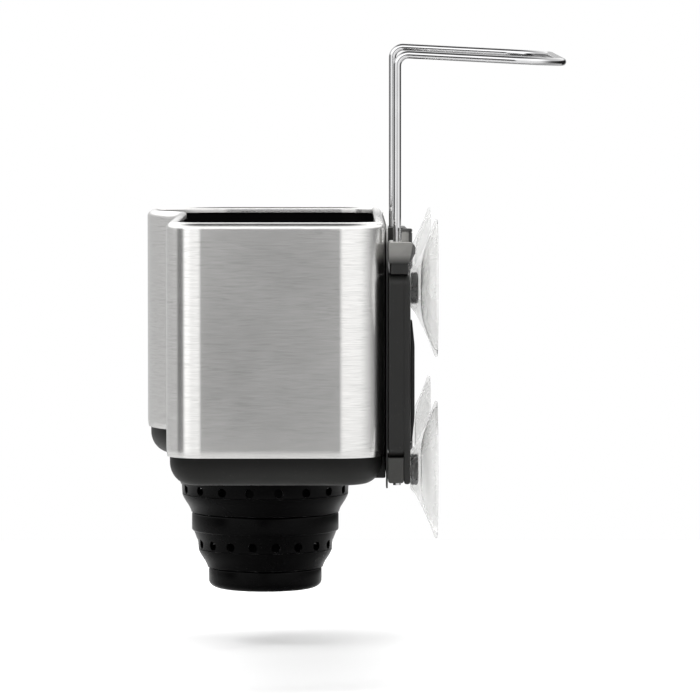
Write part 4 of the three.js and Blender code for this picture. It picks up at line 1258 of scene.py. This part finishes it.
@dataclass
class BrushCup:
    """Folding silicone cup under the brush bay. Sizes in millimetres."""

    ring_radii: Triple = (46.7, 38.3, 29.5)
    ring_wall: float = 3.4
    ring_edge: float = 1.0
    neck_radius: float = 40.7
    neck_bore: float = 37.7
    flange_radius: float = 43.5
    flange_top: float = -45.1
    flange_height: float = 2.0
    band_taper: float = 3.1
    band_draft: float = 0.3
    band_ease: Pair = (0.5, 0.9)
    band_wall: float = 2.0
    web_wall: float = 1.2
    web_shrink: float = 4.7
    web_steps: int = 10
    hole_radius: float = 2.4
    hole_rise: float = 2.8
    hole_count: int = 18
    top_ring: Pair = (-49.7, -61.6)
    top_band: Pair = (-66.7, -70.9)
    upper_web: Pair = (-71.2, -80.6)
    middle_ring: Pair = (-80.9, -90.5)
    middle_band: Pair = (-95.6, -99.8)
    lower_web: Pair = (-100.1, -109.5)
    bottom_ring: Pair = (-109.8, -116.5)
    bottom: float = -120.7
    floor: float = 3.0
    foot_round: float = 6.6

    @staticmethod
    def eased(radius: float, high: float, low: float, edge: float) -> list[Pair]:
        """Lists an upright run whose two ends are rounded towards the axis.

        Args:
            radius: Radius of the run in millimetres.
            high: Upper end in millimetres.
            low: Lower end in millimetres.
            edge: Radius of the two rounds in millimetres.

        Returns:
            Points (radius, height), from the top down.
        """
        return [*level_round(radius, high, -edge, -edge, 3),
                *quarter_round(radius, low, -edge, edge, 3)]

    def stage(self, number: int, ring: Pair, band: Pair) -> list[Pair]:
        """Lists the outside of a ring and its band, from the top down.

        Args:
            number: Which ring.
            ring: Top and bottom of the ring in millimetres.
            band: Top and bottom of the band's straight run in millimetres.

        Returns:
            Points (radius, height).
        """
        radius = self.ring_radii[number]
        drawn = radius - self.band_taper
        ease, drop = self.band_ease
        return [*self.eased(radius, *ring, self.ring_edge), (drawn + ease, band[0] + drop),
                (drawn, band[0]), (drawn - self.band_draft, band[1])]

    def inner(self, number: int, ring: Pair, band: Pair) -> list[Pair]:
        """Lists the inside of a ring and its band, from the bottom up.

        Args:
            number: Which ring.
            ring: Top and bottom of the ring in millimetres.
            band: Top and bottom of the band's straight run in millimetres.

        Returns:
            Points (radius, height).
        """
        radius = self.ring_radii[number]
        drawn = radius - self.band_taper - self.band_wall
        return [(drawn - self.band_draft, band[1]), (drawn, band[0]),
                (radius - self.ring_wall, ring[1])]

    def bored(self, piece: bpy.types.Object, number: int, band_bottom: float) -> bpy.types.Object:
        """Bores the row of holes round the band of a stage.

        Args:
            piece: The turned stage.
            number: Which ring.
            band_bottom: Bottom of the band in millimetres.

        Returns:
            The same piece.
        """
        reach = self.ring_radii[number] + 4
        place = Vector((*BRUSH_AXIS, band_bottom + self.hole_rise)) * MM
        for hole in range(self.hole_count // 2):
            bore = Blank()
            bore.rod((0.0, 0.0), Across.ALONG_X, -reach, reach, self.hole_radius, 24)
            turn = Matrix.Rotation(math.tau * (hole + 0.5) / self.hole_count, 4, "Z")
            bmesh.ops.transform(bore.bm, matrix=Matrix.Translation(place) @ turn,
                                verts=bore.bm.verts)
            carve(piece, bore)
        return piece

    def brush_collar(self) -> bpy.types.Object:
        """Spins the collar: flange, neck, thick ring and the band with holes.

        Returns:
            The collar.
        """
        under = self.flange_top - self.flange_height
        return self.bored(turned("brush_collar_fine", [
            (self.neck_bore, self.flange_top),
            (self.flange_radius, self.flange_top), (self.flange_radius, under),
            (self.neck_radius, under), (self.neck_radius, self.top_ring[0]),
            *self.stage(0, self.top_ring, self.top_band),
            *self.inner(0, self.top_ring, self.top_band),
            (self.ring_radii[0] - self.ring_wall, self.top_ring[0] - self.ring_wall),
            (self.neck_bore, self.top_ring[0] - 1.0),
            (self.neck_bore, self.flange_top),
        ], BRUSH_AXIS), 0, self.top_band[1])

    def brush_ring(self) -> bpy.types.Object:
        """Spins the middle ring and its band with holes.

        Returns:
            The ring.
        """
        stage = self.stage(1, self.middle_ring, self.middle_band)
        return self.bored(turned("brush_ring_fine", [
            *stage,
            *self.inner(1, self.middle_ring, self.middle_band),
            (self.ring_radii[1] - self.ring_wall, self.middle_ring[0]),
            stage[0],
        ], BRUSH_AXIS), 1, self.middle_band[1])

    def web(self, name: str, number: int, span: Pair) -> bpy.types.Object:
        """Spins a thin web that leads from a band to the next ring in an easy curve.

        Args:
            name: Name of the piece.
            number: The ring above it.
            span: Top and bottom of the web in millimetres.

        Returns:
            The web.
        """
        top = self.ring_radii[number] - self.band_taper - self.band_draft
        outer = []
        for step in range(self.web_steps + 1):
            share = step / self.web_steps
            ease = share * share * (3 - 2 * share)
            outer.append((top - self.web_shrink * (0.35 * share + 0.65 * ease),
                          span[0] + (span[1] - span[0]) * share))
        inner = [(radius - self.web_wall, height) for radius, height in reversed(outer)]
        return turned(name, [*outer, *inner, outer[0]], BRUSH_AXIS)

    def brush_bottom(self) -> bpy.types.Object:
        """Spins the cup's closed foot.

        Returns:
            The foot.
        """
        radius, floor = self.ring_radii[2], self.bottom + self.floor
        high, low = self.bottom_ring
        wall, edge = radius - self.ring_wall, self.ring_edge
        outside = [*level_round(radius, high, -edge, -edge, 3),
                   *quarter_round(radius, self.bottom, -self.foot_round, low - self.bottom, 8)]
        return turned("brush_bottom_fine", [
            *outside,
            (0.0, self.bottom), (0.0, floor), (radius - 9.2, floor), (radius - 6.0, floor + 0.9),
            (wall, floor + 3.6), (wall, high),
            outside[0],
        ], BRUSH_AXIS)

    def build(self, shop: Workshop) -> None:
        """Builds the cup, with its two webs baked in place between its stages.

        Args:
            shop: The workshop that finishes pieces.
        """
        look = Look.BLACK_SILICONE
        shop.present(self.brush_collar(), look, Body.CADDY, ["brush_collar"])
        shop.present(self.brush_ring(), look, Body.BRUSH_RING, ["brush_ring"])
        shop.present(self.brush_bottom(), look, Body.BRUSH_BOTTOM, ["brush_bottom"])
        for name, number, span, ends in (
                ("upper_web", 0, self.upper_web, (Body.CADDY, Body.BRUSH_RING)),
                ("lower_web", 1, self.lower_web, (Body.BRUSH_RING, Body.BRUSH_BOTTOM))):
            web = self.web(name + "_fine", number, span)
            shop.dress(web, look)
            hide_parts(name)
            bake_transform(web)
            LOG.info("%s: %s between %s and %s", web.name, look.value.title,
                     ends[0].value, ends[1].value)


@dataclass
class WallBracket:
    """Back plate, bracket, cover, caps, bumpers and screws. Sizes in millimetres."""

    post_width: float = 34.0
    frame_depth: Pair = (-23.8, -16.5)
    cover_depth: Pair = (-16.2, -13.3)
    frame_height: Pair = (-35.9, 51.6)
    window: Pair = (-8.0, 28.0)
    cap_height: Pair = (51.9, 67.0)
    cap_shoulder: float = 57.1
    cap_rear: float = -10.9
    cap_chamfer: float = 2.2
    neck_inset: float = 1.4
    button_bore: float = 2.9
    flank_normal: Triple = (0.40, 0.92, -0.175)
    flank_setback: float = 1.45
    foot_height: Pair = (-48.4, -36.2)
    foot_overlap: float = 8.0
    cover_bottom: float = -48.9
    cover_lip: float = 0.25
    bumper_half: float = 29.0
    bumper_width: float = 12.0
    wire_bore: float = 2.3
    bush_bore: float = 3.9
    channel_half: float = 3.1
    channel_round: float = 2.9
    channel_floor: float = -28.7
    head_bore: float = 3.9
    head_depth: float = 2.3
    neck_bore: float = 2.9
    sink_bore: float = 3.1
    sink_depth: float = 1.6

    def framed_plate(self, name: str, depth: Pair, front_round: float,
                     rear_round: float) -> bpy.types.Object:
        """Makes the frame of two posts and two beams round its window.

        Args:
            name: Name of the piece.
            depth: Its faces toward the band and toward the wall in millimetres.
            front_round: Round of its edges toward the band in millimetres.
            rear_round: Round of its edges toward the wall in millimetres.

        Returns:
            The frame.
        """
        half = LEG_X + self.post_width / 2
        blank = Blank()
        blank.slab(rectangle((-half, self.frame_height[0]), (half, self.frame_height[1]), 5.0, 8),
                   Across.ALONG_Y, depth[0], depth[1], front_round, rear_round, 4)
        piece = blank.to_object(name)
        side = LEG_X - self.post_width / 2 - 6.0
        opening = Blank()
        opening.slab(rectangle((-side, self.window[0]), (side, self.window[1]), 6.0, 8),
                     Across.ALONG_Y, depth[0] - 5, depth[1] + 5)
        carve(piece, opening)
        return piece

    def rear_bracket(self) -> bpy.types.Object:
        """Makes the bracket, with the channels of the legs.

        Returns:
            The bracket.
        """
        piece = self.framed_plate("rear_bracket_fine", self.frame_depth, 0.8, 0.12)
        cuts = Blank()
        low, high = self.frame_height
        front, rear = self.frame_depth
        half, turn = self.channel_half, self.channel_round
        for middle in (-LEG_X, LEG_X):
            cuts.rod((middle, LEG_Y), Across.UPWARD, low - 2, high + 2, self.wire_bore)
            cuts.slab([Corner(middle - half, LEG_Y - half, turn),
                       Corner(middle + half, LEG_Y - half, turn),
                       Corner(middle + half, rear + 2), Corner(middle - half, rear + 2)],
                      Across.UPWARD, self.channel_floor, high + 2)
        carve(piece, cuts)
        pockets = Blank()
        pockets.bores(CUP_PLACES, rear - self.head_depth, rear + 2, self.head_bore)
        pockets.bores(BAND_SCREWS, front - 2, rear - 1, SCREW_BORE)
        pockets.bores(COVER_SCREWS, rear - 6, rear + 2, SCREW_BORE)
        carve(piece, pockets)
        return piece

    def wall_cover(self) -> bpy.types.Object:
        """Makes the cover on the wall side, with its longer rounded feet.

        Returns:
            The cover.
        """
        near, far = self.cover_depth
        near -= self.cover_lip
        piece = self.framed_plate("wall_cover_fine", (near, far), 0.0, 1.5)
        feet = Blank()
        half, top = self.post_width / 2, self.frame_height[0] + self.foot_overlap
        for middle in (-LEG_X, LEG_X):
            feet.slab([
                Corner(near, top), Corner(near, self.cover_bottom, 1.3, 90.0, 5),
                Corner(far, self.cover_bottom, 1.3, 90.0, 5), Corner(far, top),
            ], Across.ALONG_X, middle - half, middle + half, 0.6, 0.6)
        carve(piece, feet, "UNION")
        for places, low, radius in ((CUP_PLACES, near - 2, self.neck_bore),
                                    (COVER_SCREWS, far - self.sink_depth, self.sink_bore)):
            cuts = Blank()
            cuts.bores(places, low, far + 2, radius)
            carve(piece, cuts)
        return piece

    def guide_cap(self, side: int, name: str) -> bpy.types.Object:
        """Makes the cap that guides a leg, set back at its neck.

        Args:
            side: One for the near end, minus one for the far end.
            name: Name of the piece.

        Returns:
            The cap.
        """
        middle, half = side * LEG_X, self.post_width / 2
        front, shoulder, rear = self.frame_depth[0], self.cap_shoulder, self.cap_rear
        low, high = self.cap_height
        blank = Blank()
        blank.slab([
            Corner(front, high, 1.2, 90.0, 4),
            Corner(front, shoulder, 0.6, 90.0, 3),
            Corner(self.cover_depth[1], shoulder, 0.8, 60.0, 3),
            Corner(rear, shoulder + 4.95, 1.2, 30.0, 3),
            Corner(rear, high - self.cap_chamfer, 1.4, 45.0, 4),
            Corner(rear - self.cap_chamfer, high, 1.4, 45.0, 4),
        ], Across.ALONG_X, middle - half, middle + half)
        self.draw_in_flanks(blank, middle, half)
        blank.round_edges(0.7, 3, 25.0, lambda edge: all(
            abs(abs(vert.co.x - middle * MM) - half * MM) < MM / 100 for vert in edge.verts))
        cap = blank.to_object(name)
        neck = Blank()
        reach = half - self.neck_inset
        neck.slab(rectangle((middle - reach, front + 1.0),
                            (middle + reach, self.cover_depth[1] - 1.0), 0.8, 3),
                  Across.UPWARD, low, shoulder + 1.0)
        carve(cap, neck, "UNION")
        cuts = Blank()
        cuts.rod((middle, LEG_Y), Across.UPWARD, high - 4, high + 2, self.wire_bore)
        cuts.rod((middle, LEG_Y), Across.UPWARD, low - 2, high - 3.0, self.bush_bore)
        carve(cap, cuts)
        if side > 0:
            bore = Blank()
            bore.rod(BUTTON_PLACE, Across.UPWARD, shoulder + 0.5, high + 2, self.button_bore)
            carve(cap, bore)
        return cap

    def draw_in_flanks(self, blank: Blank, middle: float, half: float) -> None:
        """Slants the wall side of the cap's two end faces off, the more the lower it is.

        Args:
            blank: The cap's block.
            middle: Middle of the cap in millimetres.
            half: Half of the cap's width in millimetres.
        """
        across, toward, lean = self.flank_normal
        for side in (-1, 1):
            corner = Vector((middle + side * half, self.cap_rear - self.flank_setback,
                             self.cap_height[1])) * MM
            cut = bmesh.ops.bisect_plane(
                blank.bm, geom=[*blank.bm.verts, *blank.bm.edges, *blank.bm.faces],
                plane_co=corner, plane_no=(side * across, toward, lean),
                clear_outer=True)["geom_cut"]
            edges = [item for item in cut if isinstance(item, bmesh.types.BMEdge)]
            bmesh.ops.contextual_create(blank.bm, geom=edges)
        blank.close()

    def foot_cap(self, side: int, name: str) -> bpy.types.Object:
        """Makes the cap at the foot of a post.

        Args:
            side: One for the near end, minus one for the far end.
            name: Name of the piece.

        Returns:
            The cap.
        """
        middle, half = side * LEG_X, self.post_width / 2
        front, rear = self.frame_depth
        front -= self.cover_lip
        low, high = self.foot_height
        blank = Blank()
        blank.slab([
            Corner(front, high), Corner(front, low, 1.2, 90.0, 4),
            Corner(rear, low, 1.2, 90.0, 4), Corner(rear, high),
        ], Across.ALONG_X, middle - half, middle + half, 0.5, 0.5)
        cap = blank.to_object(name)
        cuts = Blank()
        cuts.rod((middle, LEG_Y), Across.UPWARD, low - 2, high + 2, self.wire_bore)
        carve(cap, cuts)
        pocket = Blank()
        pocket.bores([(side * CUP_X, -CUP_Z)], rear - self.head_depth, rear + 2, self.head_bore)
        carve(cap, pocket)
        return cap

    def bumper(self, side: int, name: str) -> bpy.types.Object:
        """Makes a rubber bumper, drawn down at its ends.

        Args:
            side: One for the near end, minus one for the far end.
            name: Name of the piece.

        Returns:
            The bumper.
        """
        middle, half = side * LEG_X, self.bumper_width / 2
        face, high = self.cover_depth[1] + 0.3, self.bumper_half
        edge, crown, slope = face + 0.6, face + 1.8, high * 0.4
        blank = Blank()
        blank.slab([
            Corner(face, high), Corner(face, -high), Corner(edge, -high, 0.3, 70.0, 3),
            Corner(crown, -high + slope, 30.0, 6.0), Corner(crown, high - slope, 30.0, 6.0),
            Corner(edge, high, 0.3, 70.0, 3),
        ], Across.ALONG_X, middle - half, middle + half, 0.5, 0.5)
        return blank.to_object(name)

    @staticmethod
    def crossed_screw(name: str, place: Pair, profile: Sequence[Pair], arm: Pair,
                     recess: Pair) -> bpy.types.Object:
        """Turns a screw and cuts the cross in its head.

        Args:
            name: Name of the piece.
            place: Place (x, z) in millimetres.
            profile: Points (radius, y) in millimetres.
            arm: Half length and half width of the cross's arms in millimetres.
            recess: Lower and upper end in y of the cross in millimetres.

        Returns:
            The screw.
        """
        screw = turned(name, profile, place, Across.ALONG_Y, 32)
        x, z = place
        for width, height in (arm, arm[::-1]):
            cross = Blank()
            cross.slab(rectangle((x - width, z - height), (x + width, z + height)),
                       Across.ALONG_Y, *recess)
            carve(screw, cross)
        return screw

    def cover_screw(self, place: Pair, name: str) -> bpy.types.Object:
        """Makes a screw of the cover, whose head lies on the wall side.

        Args:
            place: Place (x, z) in millimetres.
            name: Name of the piece.

        Returns:
            The screw.
        """
        head = self.cover_depth[1] - 0.3
        return self.crossed_screw(name, place, (
            (0.0, -22.2), (1.1, -22.2), (1.4, -21.6), (1.4, head - 1.3), (2.8, head - 1.3),
            (2.8, head - 0.5), (2.5, head - 0.15), (1.9, head), (0.0, head)),
            (1.6, 0.35), (head - 0.8, head + 1))

    def band_screw(self, place: Pair, name: str) -> bpy.types.Object:
        """Makes a screw of the band, whose low head lies inside the caddy.

        Args:
            place: Place (x, z) in millimetres.
            name: Name of the piece.

        Returns:
            The screw.
        """
        return self.crossed_screw(name, place, (
            (0.0, -28.1), (2.6, -28.1), (3.4, -27.9), (3.8, -27.4), (3.8, -26.5), (1.4, -26.5),
            (1.4, -18.4), (1.0, -17.8), (0.0, -17.8)), (2.1, 0.4), (-29.0, -27.2))

    def build(self, shop: Workshop) -> None:
        """Builds the bracket's pieces.

        Args:
            shop: The workshop that finishes pieces.
        """
        shop.present(self.rear_bracket(), Look.DARK_GREY_PLASTIC, Body.CADDY, ["rear_bracket"])
        shop.present(self.wall_cover(), Look.DARK_GREY_PLASTIC, Body.CADDY, ["wall_cover"])
        for side, end in ((1, "near"), (-1, "far")):
            # Near cap with painted light and shade; far cap painted dark as painted shadow.
            look = Look.CAP_PLASTIC if side > 0 else Look.FAR_CAP_PLASTIC
            shop.present(self.guide_cap(side, f"{end}_guide_cap_fine"), look,
                         Body.CADDY, [f"{end}_guide_cap"])
            shop.present(self.foot_cap(side, f"{end}_foot_cap_fine"), Look.FOOT_PLASTIC,
                         Body.CADDY, [f"{end}_foot_cap"])
            shop.present(self.bumper(side, f"{end}_bumper_fine"), Look.BLACK_RUBBER,
                         Body.CADDY, [f"{end}_bumper"])
            shop.dress_node(f"{end}_leg_bush", Look.NYLON)
            shop.dress_node(f"{end}_stop_ring", Look.ZINC_STEEL)
        for number, place in enumerate(COVER_SCREWS, 1):
            shop.present(self.cover_screw(place, f"cover_screw_{number}_fine"), Look.ZINC_STEEL,
                         Body.CADDY, [f"cover_screw_{number}"])
        for number, place in enumerate(BAND_SCREWS, 1):
            shop.present(self.band_screw(place, f"band_screw_{number}_fine"), Look.ZINC_STEEL,
                         Body.CADDY, [f"band_screw_{number}"])
        # The back plate takes the finish with painted shade below its top edge.
        shop.dress_node("back_plate", Look.COATED_PLATE)


@dataclass
class LockButton:
    """The button beside the near leg, and its spring. Sizes in millimetres."""

    place: Pair = BUTTON_PLACE
    span: Pair = (61.6, 73.4)
    radius: float = 2.6
    edge: float = 0.2
    groove: float = 0.25
    coil_radius: float = 1.9
    coil_wire: float = 0.25
    coil_span: Pair = (57.9, 61.3)
    coil_turns: int = 4
    coil_steps: int = 96
    coil_keep: float = 0.28

    def spring(self) -> bpy.types.Object:
        """Winds the spring by turning a round section upwards about the button's axis.

        Returns:
            The spring.
        """
        blank = Blank()
        low, high = self.coil_span
        foot = Vector((*self.place, low + self.coil_wire)) * MM
        section = bmesh.ops.create_circle(blank.bm, cap_ends=False, segments=10,
                                          radius=self.coil_wire * MM)["verts"]
        place = Matrix.Translation(foot + Vector((self.coil_radius, 0, 0)) * MM)
        bmesh.ops.transform(blank.bm, matrix=place @ Matrix.Rotation(math.pi / 2, 4, "X"),
                            verts=section)
        rise = (high - low - self.coil_wire * 2) / self.coil_steps
        bmesh.ops.spin(blank.bm, geom=[*section, *blank.bm.edges], cent=foot,
                       axis=(0.0, 0.0, 1.0), dvec=(0.0, 0.0, rise * MM),
                       angle=math.tau * self.coil_turns, steps=self.coil_steps,
                       use_merge=False, use_normal_flip=False, use_duplicate=False)
        bmesh.ops.holes_fill(blank.bm, edges=[e for e in blank.bm.edges if e.is_boundary],
                             sides=0)
        return blank.to_closed_object("lock_spring_fine")

    def build(self, shop: Workshop) -> None:
        """Turns the button, with a groove under its head.

        Args:
            shop: The workshop that finishes pieces.
        """
        low, high = self.span
        wide, narrow, throat = self.radius, self.radius - self.edge, self.radius - self.groove
        button = turned("lock_button_fine", [
            (0.0, low), (narrow, low), (wide, low + self.edge),
            (wide, high - 2.1), (throat, high - 1.95), (throat, high - 1.6), (wide, high - 1.45),
            (wide, high - 0.6), (narrow, high - 0.2), (self.radius - 0.6, high), (0.0, high),
        ], self.place, steps=40)
        # The button's finish paints shade on its top and on its wall side.
        shop.present(button, Look.GREY_PLASTIC, Body.BUTTON, ["lock_button"])
        spring = shop.present(self.spring(), Look.ZINC_STEEL, Body.CADDY, ["lock_spring"])
        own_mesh(spring)


@dataclass
class HangerLoop:
    """The wire loop: two legs, two drooping arms and the end between them. In millimetres."""

    near_reach: float = 60.6
    far_reach: float = 62.6
    foot: float = -50.6
    top: float = 157.0
    droop: float = 4.2
    far_rise: float = 4.59
    wire_radius: float = 1.9
    bend_radius: float = 5.5
    corner_radius: float = 24.0
    stub: float = 5.0

    def corners(self) -> list[tuple[Vector, float]]:
        """Returns the loop's corners and the radius of the bend at each."""
        far = self.top + self.far_rise
        return [
            (Vector((LEG_X, LEG_Y, self.foot)), 0.0),
            (Vector((LEG_X, LEG_Y, self.top)), self.bend_radius),
            (Vector((LEG_X, self.near_reach, self.top - self.droop)), self.corner_radius),
            (Vector((-LEG_X, self.far_reach, far - self.droop)), self.corner_radius),
            (Vector((-LEG_X, LEG_Y, far)), self.bend_radius),
            (Vector((-LEG_X, LEG_Y, self.foot)), 0.0),
        ]

    def knots(self) -> list[tuple[Vector, Vector, Vector]]:
        """Lists the knots of the curve: straight runs, and a round at every inner corner.

        Returns:
            The left handle, the place and the right handle of every knot, in millimetres.
        """
        corners = self.corners()
        first, last = corners[0][0], corners[-1][0]
        away = (corners[1][0] - first).normalized() * self.stub
        knots = [(first - away, first, first + away)]
        for (before, _), (corner, radius), (after, _) in zip(corners, corners[1:], corners[2:]):
            back, ahead = (before - corner).normalized(), (after - corner).normalized()
            turn = math.pi - back.angle(ahead)
            run = radius * math.tan(turn / 2)
            pull = radius * math.tan(turn / 4) * 4 / 3
            start, end = corner + back * run, corner + ahead * run
            knots.append((start + back * self.stub, start, start - back * pull))
            knots.append((end - ahead * pull, end, end + ahead * self.stub))
        home = (corners[-2][0] - last).normalized() * self.stub
        return [*knots, (last + home, last, last - home)]

    def build(self, shop: Workshop) -> None:
        """Bends the wire as one curve.

        Args:
            shop: The workshop that finishes pieces.
        """
        curve = bpy.data.curves.new("hanger_wire_fine", "CURVE")
        curve.dimensions = "3D"
        curve.bevel_depth = self.wire_radius * MM
        curve.bevel_resolution = 8
        curve.resolution_u = 16
        curve.use_fill_caps = True
        knots = self.knots()
        spline = curve.splines.new("BEZIER")
        spline.bezier_points.add(len(knots) - 1)
        for point, (left, middle, right) in zip(spline.bezier_points, knots):
            point.handle_left_type = point.handle_right_type = "FREE"
            point.handle_left, point.co, point.handle_right = left * MM, middle * MM, right * MM
        wire = bpy.data.objects.new("hanger_wire_fine", curve)
        bpy.context.scene.collection.objects.link(wire)
        shop.present(wire, Look.POLISHED_STEEL, Body.HANGER, ["hanger_wire"])


@dataclass
class SuctionCups:
    """Four clear suction cups and their hubs. Sizes in millimetres."""

    cup_profile: tuple[Pair, ...] = (
        (0.0, -17.9), (3.2, -17.9), (3.6, -17.5), (3.6, -16.5), (2.6, -16.5), (2.6, -8.9),
        (7.9, -8.9), (7.9, -12.6), (8.2, -13.0), (9.0, -13.0), (9.5, -12.7), (12.0, -10.6),
        (14.6, -9.2), (18.0, -7.45), (22.0, -5.6), (26.0, -3.85), (30.0, -2.3), (32.4, -1.45),
        (33.2, -0.9), (33.3, -0.4), (33.1, 0.0), (30.6, 0.0), (30.1, -0.5), (28.2, -1.9),
        (23.0, -4.2), (17.6, -6.2), (13.2, -7.25), (9.4, -7.6), (0.0, -7.6))
    hub_profile: tuple[Pair, ...] = (
        (2.9, -12.7), (7.0, -12.7), (7.5, -12.3), (7.6, -11.8), (7.6, -10.0), (7.3, -9.5),
        (6.8, -9.2), (2.9, -9.2), (2.9, -12.7))
    cup_steps: int = 72
    hub_steps: int = 48

    def build(self, shop: Workshop) -> None:
        """Turns each cup (head, neck, groove, cone and lip) and the hub in its groove.

        Args:
            shop: The workshop that finishes pieces.
        """
        for number, place in enumerate(CUP_PLACES, 1):
            cup = turned(f"suction_cup_{number}_fine", self.cup_profile, place,
                         Across.ALONG_Y, self.cup_steps)
            shop.present(cup, Look.CLEAR_VINYL, Body.CADDY, [f"suction_cup_{number}"], 50.0)
            hub = turned(f"cup_hub_{number}_fine", self.hub_profile, place,
                         Across.ALONG_Y, self.hub_steps)
            shop.present(hub, Look.BLACK_PLASTIC, Body.CADDY, [f"cup_hub_{number}"])


@dataclass
class Studio:
    """Floor, lamps, surroundings and camera. Sizes in metres."""

    floor_height: float = -0.149
    floor_half: float = 0.62
    camera_place: Triple = (2.4465, -0.0461, 0.1494)
    camera_pitch: float = 3.30
    camera_yaw: float = 0.094
    camera_lens: float = 249.9
    camera_sensor: float = 36.0
    view_end: float = 60.0
    floor_lift: float = 0.43
    brightest: float = 1.6
    climb: Pair = (0.16, 0.30)
    lamp_place: Triple = (0.03, -0.07, 1.3)
    lamp_size: Pair = (3.2, 0.4)
    lamp_power: float = 40.0
    lamp_aim: Triple = (0.0, -0.08, 0.0)
    reflected_tones: tuple[Pair, ...] = (
        (-180.0, 0.64), (-90.0, 0.62), (-82.0, 0.06), (-66.0, 0.05), (-57.0, 1.60),
        (-44.0, 1.55), (-36.0, 1.25), (-10.0, 1.25), (-6.0, 0.11), (3.8, 0.11),
        (7.8, 1.30), (55.0, 1.28), (88.0, 0.42), (104.0, 0.15), (122.0, 0.04),
        (155.0, 0.04), (168.0, 0.64), (180.0, 0.64))
    overhead_tones: tuple[Pair, ...] = (
        (0.2, 1.25), (0.66, 1.25), (0.80, 0.80), (0.90, 0.12), (1.0, 0.06))
    room_tones: tuple[Pair, ...] = (
        (-180.0, 0.54), (15.0, 0.54), (50.0, 0.088), (145.0, 0.088), (178.0, 0.54))

    @staticmethod
    def in_view(graph: Graph) -> bpy.types.NodeSocket:
        """Returns one for what the camera sees, straight or through the clear cups."""
        path = graph.add("ShaderNodeLightPath").outputs
        return graph.work_out("MAXIMUM", path["Is Camera Ray"], path["Is Transmission Ray"])

    def floor(self) -> None:
        """Lays the pale floor, which keeps the shadow and is white to the camera."""
        blank = Blank()
        bmesh.ops.create_grid(blank.bm, x_segments=1, y_segments=1, size=self.floor_half)
        bmesh.ops.translate(blank.bm, vec=(0, 0, self.floor_height), verts=blank.bm.verts)
        floor = blank.to_object("floor")
        material = bpy.data.materials.new("pale_floor")
        material.use_nodes = True
        graph = Graph(material.node_tree)
        paint = graph.add("ShaderNodeBsdfDiffuse", {"Color": (0.8, 0.8, 0.8, 1.0)})
        lift = graph.work_out("MULTIPLY", self.in_view(graph), self.floor_lift)
        glow = graph.add("ShaderNodeEmission", {"Color": (1, 1, 1, 1), "Strength": lift})
        both = graph.add("ShaderNodeAddShader", {"0": paint.outputs[0], "1": glow.outputs[0]})
        graph.add("ShaderNodeOutputMaterial", {"Surface": both.outputs[0]})
        floor.data.materials.append(material)

    def surroundings(self) -> None:
        """Makes the world: white in view, upright strips for gloss, a soft room for the rest."""
        world = bpy.data.worlds.new("studio")
        bpy.context.scene.world = world
        world.use_nodes = True
        graph = Graph(world.node_tree)
        place = graph.add("ShaderNodeTexCoord").outputs["Generated"]
        apart = graph.add("ShaderNodeSeparateXYZ", {"Vector": place}).outputs
        angle = graph.work_out("ARCTAN2", apart["Y"], apart["X"])
        share = graph.span(angle, -math.pi, math.pi)
        strips, walls = (
            graph.ramp(share, [((degrees + 180) / 360, tone / self.brightest)
                               for degrees, tone in tones])
            for tones in (self.reflected_tones, self.room_tones))
        overhead = graph.ramp(apart["Z"], self.overhead_tones)
        strips = graph.mix(graph.span(apart["Z"], *self.climb), strips, overhead)
        room, metal, white = (
            graph.add("ShaderNodeBackground", {"Color": colour, "Strength": strength}).outputs[0]
            for colour, strength in ((walls, self.brightest), (strips, self.brightest),
                                     ((1, 1, 1, 1), 1.0)))
        glossy = graph.add("ShaderNodeLightPath").outputs["Is Glossy Ray"]
        unseen = graph.add("ShaderNodeMixShader", {"0": glossy, "1": room, "2": metal})
        both = graph.add("ShaderNodeMixShader", {"0": self.in_view(graph),
                                                 "1": unseen.outputs[0], "2": white})
        graph.add("ShaderNodeOutputWorld", {"Surface": both.outputs[0]})

    def lamp(self) -> None:
        """Hangs a soft lamp over the caddy."""
        data = bpy.data.lights.new("overhead_lamp", "AREA")
        data.shape = "RECTANGLE"
        data.size, data.size_y = self.lamp_size
        data.energy = self.lamp_power
        lamp = bpy.data.objects.new("overhead_lamp", data)
        lamp.location = self.lamp_place
        toward = Vector(self.lamp_aim) - Vector(self.lamp_place)
        lamp.rotation_euler = toward.to_track_quat("-Z", "Y").to_euler()
        lamp.visible_glossy = False
        bpy.context.scene.collection.objects.link(lamp)

    def camera(self) -> None:
        """Sets the long lens at the caddy's near end."""
        data = bpy.data.cameras.new("camera")
        data.lens = self.camera_lens
        data.sensor_width = self.camera_sensor
        data.clip_end = self.view_end
        camera = bpy.data.objects.new("camera", data)
        camera.location = self.camera_place
        pitch, yaw = math.radians(self.camera_pitch), math.radians(self.camera_yaw)
        toward = Vector((-math.cos(pitch) * math.cos(yaw), math.cos(pitch) * math.sin(yaw),
                         -math.sin(pitch)))
        camera.rotation_euler = toward.to_track_quat("-Z", "Y").to_euler()
        bpy.context.scene.collection.objects.link(camera)
        bpy.context.scene.camera = camera

    def build(self) -> None:
        """Sets up the studio."""
        bpy.context.scene.view_settings.view_transform = "Standard"
        self.floor()
        self.surroundings()
        self.camera()
        self.lamp()


def main() -> None:
    """Builds the studio and the caddy, piece by piece."""
    logging.basicConfig(level=logging.INFO, format="%(message)s")
    Studio().build()
    shop = Workshop()
    CaddyBody().build(shop)
    BrushCup().build(shop)
    WallBracket().build(shop)
    LockButton().build(shop)
    HangerLoop().build(shop)
    SuctionCups().build(shop)


if __name__ == "__main__":
    main()
